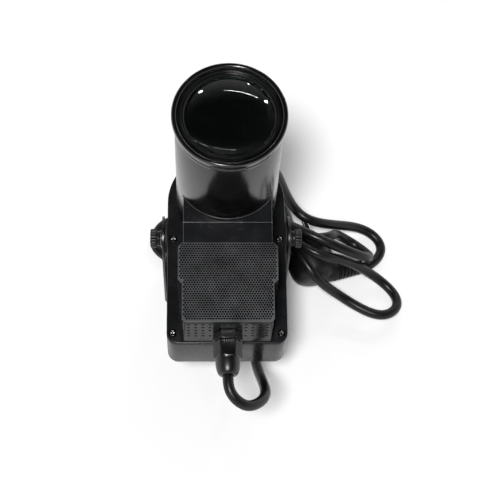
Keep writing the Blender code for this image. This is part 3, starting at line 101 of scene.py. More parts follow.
scene.camera = make_camera()
print("camera height:", round(scene.camera.location.z, 3), "m")

# %% [markdown]
# ## The cord's route
# The mains cord is one 1.2 m length of round rubber cable. It leaves the gland, bends down under
# the light and lies in loose loops behind and beside it, before it goes into the plug. The route is
# a list of places, and a cubic B-spline runs smoothly past them, as a springy cable would. The
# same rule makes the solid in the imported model, so both lie in the same place.

# %% Smooth route
CORD_RADIUS = 3.35 * MM
CORD_EXIT = (0.0, -0.0809, 0.1195)
CORD_PLACES = [
    CORD_EXIT, (0.0, -0.0864, 0.1195),
    (0.002, -0.093, 0.118), (0.012, -0.1, 0.112), (0.025, -0.089, 0.1), (0.023, -0.075, 0.086),
    (0.022, -0.063, 0.062), (0.02, -0.045, 0.036), (0.02, -0.027, 0.012), (0.014, -0.004, 0.003),
    (-0.002, 0.022, 0.009), (-0.029, 0.038, 0.006), (-0.056, 0.051, 0.0035), (-0.042, 0.079, 0.0035),
    (-0.007, 0.067, 0.005), (0.014, 0.064, 0.03), (0.045, 0.044, 0.042), (0.065, 0.026, 0.048),
    (0.083, 0.032, 0.033), (0.112, 0.029, 0.001), (0.128, 0.008, 0.005), (0.109, -0.009, 0.014),
    (0.079, 0.013, 0.013), (0.06, 0.014, 0.04), (0.045, 0.05, 0.036), (0.022, 0.052, 0.007),
    (0.004, 0.085, 0.0035), (0.027, 0.103, 0.005), (0.047, 0.08, 0.013), (0.044, 0.043, 0.039),
    (0.077, 0.044, 0.041), (0.077, 0.059, 0.017), (0.099, 0.052, 0.0025), (0.108, 0.029, 0.028),
    (0.057, 0.04, 0.055), (0.036, 0.064, 0.031), (0.009, 0.06, 0.011), (-0.006, 0.086, 0.003),
    (0, 0.12, 0.004), (0.034, 0.122, 0.0035), (0.04, 0.099, 0.023), (0.051, 0.05, 0.044),
    (0.1, 0.072, 0.0035), (0.118, 0.052, 0.003),
    (0.10505, 0.03709, 0.00515), (0.09809, 0.03548, 0.00707),
]


def smooth_curve(points, steps=16):
    """Closely spaced points on the B-spline that the places lead, from the first to the last."""
    route = [Vector(point) for point in points]
    ends = [2 * route[0] - route[1]] + route + [2 * route[-1] - route[-2]]
    fine = []
    for a, b, c, d in zip(ends, ends[1:], ends[2:], ends[3:]):
        for step in range(steps):
            t = step / steps
            fine.append(((1 - t) ** 3 * a + (3 * t ** 3 - 6 * t ** 2 + 4) * b
                         + (3 * t + 3 * t ** 2 - 3 * t ** 3 + 1) * c + t ** 3 * d) / 6)
    fine.append(route[-1])
    return fine


def length_of(path):
    """Length of a line of points."""
    return sum((end - start).length for start, end in zip(path, path[1:]))


cord_path = smooth_curve(CORD_PLACES)
print("cord length:", round(length_of(cord_path), 3), "m")

# %% [markdown]
# ## Meshes from rings
# Most pieces here are rows of rings: a cable is one ring carried along its path, and a tube or a
# knob is one ring per height. One helper that joins rings with quads therefore serves them all.

# %% Joining rings
def new_object(name, vertices, faces, smooth_angle=40.0):
    """A mesh object in the scene, shaded smooth up to an angle between its faces."""
    mesh = bpy.data.meshes.new(name)
    mesh.from_pydata([tuple(vertex) for vertex in vertices], [], faces)
    tool = bmesh.new()
    tool.from_mesh(mesh)
    bmesh.ops.recalc_face_normals(tool, faces=tool.faces)
    tool.to_mesh(mesh)
    tool.free()
    mesh.shade_smooth()
    mesh.set_sharp_from_angle(angle=math.radians(smooth_angle))
    made = bpy.data.objects.new(name, mesh)
    scene.collection.objects.link(made)
    return made


def joined_rings(rings, closed=False):
    """Vertices and faces of a skin over rings of points. A ring of one point closes the skin."""
    vertices = [point for ring in rings for point in ring]
    starts = []
    total = 0
    for ring in rings:
        starts.append(total)
        total += len(ring)
    faces = []
    pairs = list(zip(range(len(rings)), range(1, len(rings))))
    if closed:
        pairs.append((len(rings) - 1, 0))
    for low, high in pairs:
        sides = max(len(rings[low]), len(rings[high]))
        for side in range(sides):
            after = (side + 1) % sides
            face = []
            for ring, places in ((low, (side, after)), (high, (after, side))):
                if len(rings[ring]) == 1:
                    face.append(starts[ring])
                else:
                    face += [starts[ring] + place for place in places]
            faces.append(face)
    return vertices, faces


def cable_rings(path, radius, sides):
    """Rings across a path, each turned as little as possible from the one before."""
    rings = []
    across = (path[1] - path[0]).orthogonal().normalized()
    for index, place in enumerate(path):
        before = path[max(index - 1, 0)]
        after = path[min(index + 1, len(path) - 1)]
        along = (after - before).normalized()
        across = (across - along * across.dot(along)).normalized()
        up = along.cross(across)
        rings.append([place + radius * (across * math.cos(turn) + up * math.sin(turn))
                      for turn in (2 * math.pi * side / sides for side in range(sides))])
    return rings


print("ring helpers are ready")

# %% [markdown]
# ## The cord
# The rings along the route give the cord its skin. Its ends are closed inside the gland and inside
# the plug's strain relief.

# %% Cord
CORD_SIDES = 24


def make_cord():
    """The cord as one closed mesh tube."""
    rings = cable_rings(cord_path, CORD_RADIUS, CORD_SIDES)
    vertices, faces = joined_rings([[cord_path[0]]] + rings + [[cord_path[-1]]])
    return new_object("mains_cord", vertices, faces)


cord = make_cord()
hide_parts("cord_lead", "cord_loops")
print("cord faces:", len(cord.data.polygons))

# %% [markdown]
# ## Finishes
# Nearly every piece is black, so what tells them apart is their gloss and their grain. A finish is
# a Principled shader with three things driven by noise: a slight change of colour, an uneven
# roughness, and a fine bump for the grain. Noise in object coordinates has its real size in metres.

# %% Finish recipe
NOISE_RANGE = (0.3, 0.7)
COAT_ROUGHNESS = 0.08
SMOOTHEST = 0.02


def add_node(material, kind, **values):
    """A node in a material, with its input sockets set by name."""
    node = material.node_tree.nodes.new(kind)
    for name, value in values.items():
        node.inputs[name.replace("_", " ")].default_value = value
    return node


def link(material, start, end):
    """Join two sockets."""
    material.node_tree.links.new(start, end)


def noise(material, size, detail=3.0, stretch=None):
    """Noise whose lumps have a size in metres, stretched along an axis if asked."""
    coordinates = add_node(material, "ShaderNodeTexCoord")
    texture = add_node(material, "ShaderNodeTexNoise", Scale=1.0 / size, Detail=detail,
                       Roughness=0.55)
    source = coordinates.outputs["Object"]
    if stretch is not None:
        mapping = add_node(material, "ShaderNodeMapping", Scale=stretch)
        link(material, source, mapping.inputs["Vector"])
        source = mapping.outputs["Vector"]
    link(material, source, texture.inputs["Vector"])
    return texture.outputs["Fac"]


def spread(material, source, low, high):
    """Map noise, which mostly stays near its middle, to a range of values."""
    node = add_node(material, "ShaderNodeMapRange", From_Min=NOISE_RANGE[0], From_Max=NOISE_RANGE[1],
                    To_Min=low, To_Max=high)
    link(material, source, node.inputs["Value"])
    return node.outputs["Result"]


def make_finish(name, colour, roughness, metallic=0.0, uneven=0.05, grain=0.5 * MM, depth=0.01 * MM,
                shift=0.25, patch=12.0 * MM, coat=0.0, stretch=None, specular=0.5):
    """A finish: colour that shifts slightly, uneven roughness, and a fine grain."""
    material = bpy.data.materials.new(name)
    material.use_nodes = True
    shader = material.node_tree.nodes["Principled BSDF"]
    shader.inputs["Metallic"].default_value = metallic
    shader.inputs["Specular IOR Level"].default_value = specular
    shader.inputs["Coat Weight"].default_value = coat
    shader.inputs["Coat Roughness"].default_value = COAT_ROUGHNESS
    wide = noise(material, patch, 4.0, stretch)
    mix = add_node(material, "ShaderNodeMix")
    mix.data_type = "RGBA"
    mix.inputs["A"].default_value = (*(part * (1 - shift) for part in colour), 1.0)
    mix.inputs["B"].default_value = (*(min(1.0, part * (1 + shift)) for part in colour), 1.0)
    link(material, spread(material, wide, 0.0, 1.0), mix.inputs["Factor"])
    link(material, mix.outputs["Result"], shader.inputs["Base Color"])
    fine = noise(material, grain, 2.0, stretch)
    low, high = max(SMOOTHEST, roughness - uneven), min(1.0, roughness + uneven)
    link(material, spread(material, wide, low, high), shader.inputs["Roughness"])
    bump = add_node(material, "ShaderNodeBump", Strength=1.0, Distance=depth)
    link(material, fine, bump.inputs["Height"])
    link(material, bump.outputs["Normal"], shader.inputs["Normal"])
    return material


print("a finish has colour, roughness and grain")

# %% [markdown]
# ## One finish per slot
# The housing is painted metal with a fine orange peel, the tube is smoother and glossier, and the
# bracket has the coarser grain of powder coat. Rubber and nylon are duller and show no metal. The
# values below are read as: colour, roughness, then what sets that finish apart.

# %% Black finishes
FINISHES = {
    "housing_black": make_finish("housing_black", (0.009, 0.0094, 0.0103), 0.26, grain=0.7 * MM,
                                 depth=0.005 * MM, specular=0.1),
    "tube_black": make_finish("tube_black", (0.002, 0.0021, 0.0024), 0.2, grain=0.9 * MM,
                              depth=0.002 * MM, uneven=0.03, specular=0.47),
    "bezel_black": make_finish("bezel_black", (0.004, 0.004, 0.0045), 0.16, grain=0.5 * MM,
                               depth=0.002 * MM, uneven=0.03, coat=0.3),
    "ring_black": make_finish("ring_black", (0.003, 0.0032, 0.0034), 0.22, grain=0.3 * MM,
                              depth=0.004 * MM, specular=0.3),
    "cover_black": make_finish("cover_black", (0.06, 0.062, 0.065), 0.36, 0.3, grain=0.25 * MM,
                               depth=0.012 * MM),
    "rubber_black": make_finish("rubber_black", (0.018, 0.018, 0.018), 0.75, grain=0.35 * MM,
                                depth=0.03 * MM),
    "inner_plastic": make_finish("inner_plastic", (0.03, 0.03, 0.03), 0.5, depth=0.01 * MM),
    "fan_plastic": make_finish("fan_plastic", (0.018, 0.018, 0.018), 0.42, depth=0.008 * MM),
    "rotor_plastic": make_finish("rotor_plastic", (0.028, 0.028, 0.028), 0.38, depth=0.008 * MM),
    "gland_nylon": make_finish("gland_nylon", (0.006, 0.006, 0.0062), 0.32, grain=0.4 * MM,
                               depth=0.01 * MM, uneven=0.08),
    "bracket_powder_coat": make_finish("bracket_powder_coat", (0.004, 0.004, 0.0044), 0.32,
                                       grain=0.45 * MM, depth=0.02 * MM),
    "knob_black": make_finish("knob_black", (0.006, 0.006, 0.006), 0.36, grain=0.4 * MM,
                              depth=0.01 * MM, specular=0.35),
    "cord_rubber": make_finish("cord_rubber", (0.004, 0.004, 0.0042), 0.36, grain=1.1 * MM,
                               depth=0.01 * MM, uneven=0.08, patch=7.0 * MM, specular=0.32),
    "plug_rubber": make_finish("plug_rubber", (0.004, 0.004, 0.0042), 0.42, grain=0.5 * MM,
                               depth=0.015 * MM, uneven=0.08, specular=0.3),
}
print("black finishes:", len(FINISHES))

# %% [markdown]
# ## Metals, boards and the lens
# Inside, the pieces have the colours that such pieces really have: a brushed aluminium heat sink,
# a green board, a white LED board. Brushed metal is the same recipe with its noise stretched along
# one axis. The lens is clear glass with a faint green tint, as a coated lens has, and a thin haze.

# %% Other finishes
BRUSHED = (1.0, 0.06, 1.0)
FINISHES.update({
    "screw_steel": make_finish("screw_steel", (0.52, 0.52, 0.53), 0.28, 1.0, grain=0.2 * MM,
                               depth=0.004 * MM, shift=0.1),
    "screw_black_steel": make_finish("screw_black_steel", (0.16, 0.16, 0.165), 0.18, 1.0,
                                     grain=0.25 * MM, depth=0.005 * MM),
    "pin_nickel": make_finish("pin_nickel", (0.72, 0.7, 0.66), 0.16, 1.0, grain=0.4 * MM,
                              depth=0.003 * MM, shift=0.06),
    "insert_brass": make_finish("insert_brass", (0.66, 0.48, 0.2), 0.28, 1.0, shift=0.1),
    "sink_aluminium": make_finish("sink_aluminium", (0.66, 0.67, 0.68), 0.34, 1.0, grain=0.8 * MM,
                                  depth=0.01 * MM, shift=0.08, stretch=BRUSHED),
    "clear_plastic": make_finish("clear_plastic", (0.85, 0.88, 0.88), 0.08, shift=0.03, uneven=0.02),
    "led_phosphor": make_finish("led_phosphor", (0.85, 0.68, 0.14), 0.4, grain=0.15 * MM,
                                depth=0.02 * MM, shift=0.08),
    "led_board_white": make_finish("led_board_white", (0.8, 0.8, 0.78), 0.42, shift=0.03),
    "board_green": make_finish("board_green", (0.02, 0.15, 0.06), 0.4, patch=1.6 * MM, shift=0.3),
    "terminal_green": make_finish("terminal_green", (0.05, 0.33, 0.12), 0.42, shift=0.1),
    "transformer_yellow": make_finish("transformer_yellow", (0.62, 0.42, 0.06), 0.45, shift=0.12),
    "capacitor_sleeve": make_finish("capacitor_sleeve", (0.03, 0.03, 0.06), 0.3, shift=0.15),
    "lens_glass": make_finish("lens_glass", (0.82, 0.95, 0.93), 0.03, uneven=0.012, grain=3.0 * MM,
                              depth=0.0002 * MM, shift=0.03),
})
WASHER_FINISH = make_finish("washer_black", (0.01, 0.01, 0.01), 0.4, grain=0.3 * MM)
GLASS_IOR = 1.5
for clear in ("lens_glass", "clear_plastic"):
    clear_shader = FINISHES[clear].node_tree.nodes["Principled BSDF"]
    clear_shader.inputs["Transmission Weight"].default_value = 1.0
    clear_shader.inputs["IOR"].default_value = GLASS_IOR
print("all finishes:", len(FINISHES))

# %% [markdown]
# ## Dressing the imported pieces
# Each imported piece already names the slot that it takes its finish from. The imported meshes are
# made of flat triangles with sharp edges, and real castings and mouldings have a small radius on
# every edge that catches the light. A few modifiers do that without touching the mesh: merge the
# corners, bevel the sharp edges by a fraction of a millimetre, and shade the rest smooth.

# %% Smoothing by modifiers
MERGE_DISTANCE = 0.002 * MM
SHARP_ANGLE = math.radians(32.0)
BEVEL_ANGLE = math.radians(35.0)
BEVEL_SEGMENTS = 2


def smoothing_group():
    """Geometry nodes that merge corners and shade smooth, except across sharp edges."""
    group = bpy.data.node_groups.new("merge_and_smooth", "GeometryNodeTree")
    group.interface.new_socket("Geometry", in_out="INPUT", socket_type="NodeSocketGeometry")
    group.interface.new_socket("Geometry", in_out="OUTPUT", socket_type="NodeSocketGeometry")
    make = group.nodes.new
    start, end = make("NodeGroupInput"), make("NodeGroupOutput")
    plain = make("GeometryNodeRemoveAttribute")
    plain.inputs["Name"].default_value = "custom_normal"
    merge = make("GeometryNodeMergeByDistance")
    merge.inputs["Distance"].default_value = MERGE_DISTANCE
    smooth = make("GeometryNodeSetShadeSmooth")
    sharp = make("GeometryNodeSetShadeSmooth")
    sharp.domain = "EDGE"
    sharp.inputs["Shade Smooth"].default_value = False
    angle = make("GeometryNodeInputMeshEdgeAngle")
    large = make("FunctionNodeCompare")
    large.operation = "GREATER_THAN"
    large.inputs["B"].default_value = SHARP_ANGLE
    group.links.new(angle.outputs["Unsigned Angle"], large.inputs["A"])
    group.links.new(large.outputs["Result"], sharp.inputs["Selection"])
    chain = [start, plain, merge, smooth, sharp, end]
    for before, after in zip(chain, chain[1:]):
        group.links.new(before.outputs["Geometry"], after.inputs["Geometry"])
    return group


SMOOTHING = smoothing_group()


def soften(piece, width):
    """Merge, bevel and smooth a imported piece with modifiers."""
    first = piece.modifiers.new("merge", "NODES")
    first.node_group = SMOOTHING
    if width > 0.0:
        bevel = piece.modifiers.new("edges", "BEVEL")
        bevel.width = width
        bevel.segments = BEVEL_SEGMENTS
        bevel.limit_method = "ANGLE"
        bevel.angle_limit = BEVEL_ANGLE
        bevel.use_clamp_overlap = True
        last = piece.modifiers.new("shade", "NODES")
        last.node_group = SMOOTHING


print("modifiers keep the packed meshes as they are")

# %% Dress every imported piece
EDGE_WIDTHS = {
    "front_housing": 0.35 * MM, "rear_housing": 0.35 * MM, "u_bracket": 0.3 * MM,
    "gland_body": 0.3 * MM, "housing_screw": 0.1 * MM, "heat_sink": 0.2 * MM,
    "friction_disc": 0.25 * MM, "knob_washer": 0.1 * MM, "plug_earth_clip": 0.15 * MM,
}
slots = {part["node"]: part["material_slot"] for part in frame["record"]["subparts"]}


def edge_width(name):
    """Width of a piece's soft edges. Pieces told apart by a number or a side share it."""
    return EDGE_WIDTHS.get(name, EDGE_WIDTHS.get(name.rpartition("_")[0], 0.0))


for name, piece in sorted(nodes.items()):
    finish = WASHER_FINISH if name.startswith("knob_washer") else FINISHES[slots[name]]
    if piece.data.materials:
        piece.data.materials[0] = finish
    else:
        piece.data.materials.append(finish)
    soften(piece, edge_width(name))
print("dressed:", len(nodes))
cord.data.materials.append(FINISHES["cord_rubber"])

# %% [markdown]
# ## Turned pieces
# A lathe makes the tube, the rim and the rings. Here a lathe is a profile of radius and height
# turned about an axis. Rounding the profile's corners first gives the finished edges their radius.

# %% Lathe
NEARLY_STRAIGHT = math.radians(165.0)
MOST_OF_A_SIDE = 0.45
TINY = 1e-9


def rounded(profile, radius, steps=3, closed=False):
    """A profile with its corners rounded, where both sides of a corner leave room for it."""
    result = []
    count = len(profile)
    for index, point in enumerate(profile):
        inside = closed or 0 < index < count - 1
        corner = Vector(point)
        before = Vector(profile[index - 1]) - corner
        after = Vector(profile[(index + 1) % count]) - corner
        if (not inside or before.length < TINY or after.length < TINY
                or before.angle(after) > NEARLY_STRAIGHT):
            result.append(tuple(corner))
            continue
        reach = min(radius, before.length * MOST_OF_A_SIDE, after.length * MOST_OF_A_SIDE)
        start, end = corner + before.normalized() * reach, corner + after.normalized() * reach
        for step in range(steps + 1):
            t = step / steps
            result.append(tuple((1 - t) ** 2 * start + 2 * t * (1 - t) * corner + t ** 2 * end))
    return result


def frame_along(place, axis):
    """A matrix that takes height to an axis through a place."""
    turn = Vector(axis).to_track_quat("Z", "Y").to_matrix().to_4x4()
    return Matrix.Translation(Vector(place)) @ turn


def lathe(name, profile, matrix, sides=144, closed=False, shape=None, smooth_angle=40.0):
    """Turn a profile about the matrix's z axis. A shape function may change the radius."""
    rings = []
    for radius, height in profile:
        if radius < TINY:
            rings.append([matrix @ Vector((0.0, 0.0, height))])
            continue
        ring = []
        for side in range(sides):
            turn = 2 * math.pi * side / sides
            reach = shape(radius, height, turn) if shape else radius
            ring.append(matrix @ Vector((reach * math.cos(turn), reach * math.sin(turn), height)))
        rings.append(ring)
    vertices, faces = joined_rings(rings, closed)
    return new_object(name, vertices, faces, smooth_angle)


def put(piece, body, slot, *replaced, finish=None):
    """Give a new piece its body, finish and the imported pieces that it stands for."""
    piece.data.materials.clear()
    piece.data.materials.append(finish or FINISHES[slot])
    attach(piece, body)
    if replaced:
        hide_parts(*replaced)
    return piece


print("lathe ready")

# %% [markdown]
# ## Tube, rim and retaining ring
# The tube is 64 mm across with a 2 mm wall, black and smooth outside and dull inside so that stray
# light dies in it. The rim has a short neck, a wider lip with a soft edge, and steps inside that
# hold the lens. The threaded retaining ring shows as a dark band round the glass.

# %% Tube and rim
TUBE_AXIS = (0.0, 0.0426, 0.0)
tube_frame = frame_along(TUBE_AXIS, (0.0, 0.0, 1.0))
tube_low, tube_high = (corner.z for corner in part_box("lens_tube"))
TUBE_RADIUS = 32.0 * MM
TUBE_INNER = 30.0 * MM
TUBE_FOOT = 23.5 * MM
FOOT_THICKNESS = 4.0 * MM
tube_profile = rounded([(TUBE_FOOT, tube_low), (TUBE_RADIUS, tube_low), (TUBE_RADIUS, tube_high),
                        (TUBE_INNER, tube_high), (TUBE_INNER, tube_low + FOOT_THICKNESS),
                        (TUBE_FOOT, tube_low + FOOT_THICKNESS)], 0.3 * MM, closed=True)
tube = put(lathe("tube_shell", tube_profile, tube_frame, 192, True), "head", "tube_black",
           "lens_tube")
tube_inside = make_finish("tube_inside", (0.008, 0.008, 0.008), 0.8, depth=0.03 * MM)
tube.data.materials.append(tube_inside)
for face in tube.data.polygons:
    middle = Vector((face.center.x - TUBE_AXIS[0], face.center.y - TUBE_AXIS[1]))
    if middle.length < TUBE_RADIUS - 1.0 * MM:
        face.material_index = 1
print("tube height:", round(tube_high - tube_low, 4), "m")

# %% Rim and ring profiles
rim_low, rim_high = (corner.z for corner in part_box("lens_bezel"))
seam = rim_low + 6.0 * MM
shelf = seam + 2.4 * MM
ring_low, ring_high = (corner.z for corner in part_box("lens_retaining_ring"))
step = ring_low - 0.3 * MM
rim_profile = [
    (28.2, rim_low), (29.7, rim_low), (29.7, seam), (32.6, seam), (32.6, seam + 1.6 * MM),
    (32.1, seam + 2.1 * MM), (32.1, seam + 3.0 * MM), (32.6, seam + 3.5 * MM),
    (32.6, seam + 5.6 * MM), (33.65, seam + 6.2 * MM), (33.65, rim_high - 0.9 * MM),
    (33.05, rim_high - 0.1 * MM), (32.3, rim_high), (31.2, rim_high - 0.15 * MM),
    (30.5, rim_high - 0.9 * MM), (30.2, step), (27.8, step), (27.8, shelf), (25.1, shelf),
    (25.1, shelf - 1.5 * MM), (28.2, shelf - 1.5 * MM),
]
rim_profile = [(radius * MM, height) for radius, height in rim_profile]
put(lathe("rim", rounded(rim_profile, 0.35 * MM, 3, True), tube_frame, 192, True), "head",
          "bezel_black", "lens_bezel")
RING_INNER = 25.75 * MM
RING_OUTER = 29.9 * MM
ring_profile = [(RING_INNER + 0.5 * MM, ring_low), (RING_OUTER, ring_low), (RING_OUTER, ring_high),
                (28.2 * MM, ring_high), (27.9 * MM, ring_high - 0.5 * MM),
                (26.9 * MM, ring_high - 0.5 * MM), (RING_INNER, ring_high - 1.5 * MM)]
ring = put(lathe("retaining_ring", rounded(ring_profile, 0.15 * MM, 2, True), tube_frame, 192, True),
           "head", "ring_black", "lens_retaining_ring")
print("rim and ring made")

# %% [markdown]
# ## Front lens
# A plano-convex lens, flat behind and domed in front with a radius of about 70 mm. Its edge hides
# under the retaining ring. The dome has to be smooth to give clean reflections, so it gets many
# rings, and its height follows the circle's own formula.

# %% Lens
LENS_RADIUS = 27.5 * MM
LENS_DOME = 70.0 * MM
lens_low, lens_high = (corner.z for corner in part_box("front_lens"))
dome_centre = lens_high - LENS_DOME
LENS_RINGS = 28
lens_profile = [(0.0, lens_low), (LENS_RADIUS * 0.5, lens_low), (LENS_RADIUS - 0.3 * MM, lens_low),
                (LENS_RADIUS, lens_low + 0.3 * MM)]
for index in range(LENS_RINGS + 1):
    radius = LENS_RADIUS * (1.0 - index / LENS_RINGS)
    lens_profile.append((radius, dome_centre + math.sqrt(LENS_DOME ** 2 - radius ** 2)))
lens = put(lathe("dome_lens", lens_profile, tube_frame, 144), "head", "lens_glass", "front_lens")
print("lens faces:", len(lens.data.polygons))

# %% [markdown]
# ## Perforated cover
# The cover over the fan is black sheet steel with about a thousand small round holes in staggered
# rows. Cutting a thousand holes with Booleans is slow. A flat curve with an outline and many small
# circles inside it fills itself between them, and its extrusion gives the sheet its thickness.

# %% Cover outline and holes
COVER_LENGTH = 49.38 * MM
COVER_HALF = 28.05 * MM
WING_HALF = 30.5 * MM
WING_END = 24.5 * MM
COVER_CORNER = 2.5 * MM
COVER_SHEET = 1.2 * MM
HOLE_PITCH = 1.62 * MM
HOLE_RADIUS = 0.63 * MM
COVER_MARGIN = 0.45 * MM
HOLE_SIDES = 10
WING_CUT = 1.2 * MM
WING_STEP = 0.4 * MM
CORNER_STEPS = 6


def cover_outline():
    """Outline of the cover: wings over the ears, cut corners above, round ones below."""
    right = [(WING_HALF - COVER_CORNER, 0.0), (WING_HALF, -COVER_CORNER),
             (WING_HALF, -WING_END + WING_CUT), (WING_HALF - WING_CUT, -WING_END),
             (COVER_HALF, -WING_END - WING_STEP)]
    for corner_step in range(CORNER_STEPS + 1):
        turn = math.radians(-90.0 * corner_step / CORNER_STEPS)
        right.append((COVER_HALF - COVER_CORNER + COVER_CORNER * math.cos(turn),
                      -COVER_LENGTH + COVER_CORNER + COVER_CORNER * math.sin(turn)))
    return right + [(-x, y) for x, y in reversed(right)]


def hole_places():
    """Centres of the staggered holes that leave a rim round the sheet."""
    places = []
    row_pitch = HOLE_PITCH * math.sqrt(3.0) / 2
    rows = int((COVER_LENGTH - 2 * COVER_MARGIN) / row_pitch)
    for row in range(rows):
        y = -COVER_MARGIN - HOLE_RADIUS - row * row_pitch
        if y - HOLE_RADIUS < -COVER_LENGTH + COVER_MARGIN:
            continue
        half = (WING_HALF if y > -WING_END + 1.0 * MM else COVER_HALF) - COVER_MARGIN - HOLE_RADIUS
        if y > -COVER_CORNER:
            half -= COVER_CORNER + y
        if y < -COVER_LENGTH + COVER_CORNER:
            half -= 0.6 * (COVER_CORNER - (COVER_LENGTH + y))
        shift = HOLE_PITCH / 2 if row % 2 else 0.0
        count = int((half - shift) / HOLE_PITCH)
        places += [(shift + column * HOLE_PITCH, y) for column in range(-count - row % 2, count + 1)]
    return places


# %% [markdown]
# The block's front slopes by one in eight, and the sheet lies on that slope. One matrix takes the
# flat sheet there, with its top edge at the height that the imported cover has.

# %% Cover sheet
COVER_SLOPE = math.atan(0.125)
COVER_TURN = Matrix.Rotation(COVER_SLOPE, 4, "X")
COVER_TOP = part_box("mesh_cover")[1]


def circle_points(centre, radius, sides):
    """Points round a circle in the plane."""
    return [(centre[0] + radius * math.cos(2 * math.pi * side / sides),
             centre[1] + radius * math.sin(2 * math.pi * side / sides)) for side in range(sides)]


def make_cover():
    """The sheet with its holes, laid on the block's sloping front."""
    flat = bpy.data.curves.new("cover_flat", "CURVE")
    flat.dimensions = "2D"
    flat.fill_mode = "BOTH"
    flat.extrude = COVER_SHEET / 2
    loops = [cover_outline()]
    loops += [circle_points(place, HOLE_RADIUS, HOLE_SIDES) for place in hole_places()]
    for loop in loops:
        spline = flat.splines.new("POLY")
        spline.points.add(len(loop) - 1)
        spline.use_cyclic_u = True
        for point, (x, y) in zip(spline.points, loop):
            point.co = (x, y, 0.0, 1.0)
    helper = bpy.data.objects.new("cover_flat", flat)
    scene.collection.objects.link(helper)
    depsgraph = bpy.context.evaluated_depsgraph_get()
    mesh = bpy.data.meshes.new_from_object(helper.evaluated_get(depsgraph))
    bpy.data.objects.remove(helper)
    top_edge = Vector((0.0, COVER_TOP.y, COVER_TOP.z - COVER_SHEET / 2 * math.cos(COVER_SLOPE)))
    mesh.transform(Matrix.Translation(top_edge) @ COVER_TURN)
    made = bpy.data.objects.new("perforated_cover", mesh)
    scene.collection.objects.link(made)
    return made, len(loops) - 1


cover, hole_count = make_cover()
put(cover, "head", "cover_black", "mesh_cover")
print("holes in the cover:", hole_count)

# %% [markdown]
# Every hole looks black, so the walls of the holes get a dull black, which is painted shade inside
# the holes, and a thin black sheet under the cover, also painted shade, shuts out the view of what
# lies behind it. The sheet's own face and its outer edge keep the cover's finish.

# %% Dark holes
UPWARD = 0.5
# The near-black, matte finish on the hole walls is painted shade inside the holes.
hole_shade = make_finish("hole_shade", (0.001, 0.001, 0.001), 0.9, depth=0.001 * MM, specular=0.0)
cover.data.materials.append(hole_shade)
COVER_UP = Vector((0.0, -math.sin(COVER_SLOPE), math.cos(COVER_SLOPE)))
for face in cover.data.polygons:
    along = (face.center.y - COVER_TOP.y) / math.cos(COVER_SLOPE)
    half = (WING_HALF if along > -WING_END else COVER_HALF) - COVER_MARGIN / 2
    outer = abs(face.center.x) > half or along > -COVER_MARGIN / 2
    outer = outer or along < -COVER_LENGTH + COVER_MARGIN / 2
    if face.normal.dot(COVER_UP) < UPWARD and not outer:
        face.material_index = 1
print("hole finish:", hole_shade.name)

# %% Painted shade under the sheet
SHADE_SHEET_INSET = 0.35 * MM
SHADE_SHEET_GAP = 0.05 * MM
SHADE_SHEET_THICKNESS = 0.2 * MM


def make_shade_sheet():
    """A thin black sheet of painted shade under the cover, a little inside its outline."""
    inset = 1.0 - SHADE_SHEET_INSET / COVER_HALF
    middle = COVER_LENGTH / 2
    outline = [(x * inset, (y + middle) * inset - middle) for x, y in cover_outline()]
    top = (Vector((0.0, COVER_TOP.y, COVER_TOP.z))
           + COVER_TURN @ Vector((0.0, 0.0, -COVER_SHEET - SHADE_SHEET_GAP)))
    place = Matrix.Translation(top) @ COVER_TURN
    rings = [[place @ Vector((x, y, -depth)) for x, y in outline]
             for depth in (0.0, SHADE_SHEET_THICKNESS)]
    count = len(outline)
    faces = [list(range(count)), list(range(2 * count - 1, count - 1, -1))]
    faces += [[side, (side + 1) % count, count + (side + 1) % count, count + side]
              for side in range(count)]
    return new_object("cover_shade_sheet", rings[0] + rings[1], faces)


# The black sheet under the cover is painted shade that darkens the view through the holes.
shade_sheet = put(make_shade_sheet(), "head", "cover_black", finish=hole_shade)
print("lining corners:", len(shade_sheet.data.vertices))

# %% [markdown]
# ## Fine edges of the block
# Where the tube stands on the block, and where the block's top starts to slope, the casting has a
# fine raised edge. Two thin beads along those lines show it: their round shape catches the light,
# and their grey, paler than the housing's black, is a painted highlight.

# %% Edge beads
BEAD = 0.28 * MM
BEAD_SIDES = 10
SEAT_CLEARANCE = 0.15 * MM
CREASE_SINK = 0.12 * MM
BLOCK_HALF = 27.6 * MM
CREASE_Y = 8.3 * MM
SEAT_TURN = math.radians(59.0)
SEAT_STEPS = 48


def make_bead(name, path):
    """A thin rod along a path on the block's top."""
    rings = cable_rings(path, BEAD, BEAD_SIDES)
    vertices, faces = joined_rings([[path[0]]] + rings + [[path[-1]]])
    return put(new_object(name, vertices, faces), "head", "housing_black", finish=bead_highlight_finish)


# The beads' paler grey is a painted highlight along the block's edges.
bead_highlight_finish = make_finish("edge_painted_highlight", (0.05, 0.052, 0.055), 0.25, depth=0.001 * MM)
block_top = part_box("front_housing")[1].z
seat_path = []
for index in range(SEAT_STEPS + 1):
    turn = SEAT_TURN * (2.0 * index / SEAT_STEPS - 1.0)
    reach = TUBE_RADIUS + SEAT_CLEARANCE
    seat_path.append(Vector((reach * math.sin(turn), TUBE_AXIS[1] - reach * math.cos(turn),
                             block_top)))
make_bead("tube_seat_edge", seat_path)
make_bead("block_crease", [Vector((share * BLOCK_HALF, CREASE_Y, block_top - CREASE_SINK))
                           for share in (-1.0, -0.5, 0.0, 0.5, 1.0)])
print("edge beads on the block, top at", round(block_top * 1000, 1), "mm")

# %% [markdown]
# ## Gland nut
# The gland's outer nut is moulded nylon: a hexagon with fine grip ribs on its flats, and a dome
# that closes round the cord. The hexagon is a lathe turn whose radius changes round the turn, so
# the flats, their rounded corners and the ribs are all in one formula.

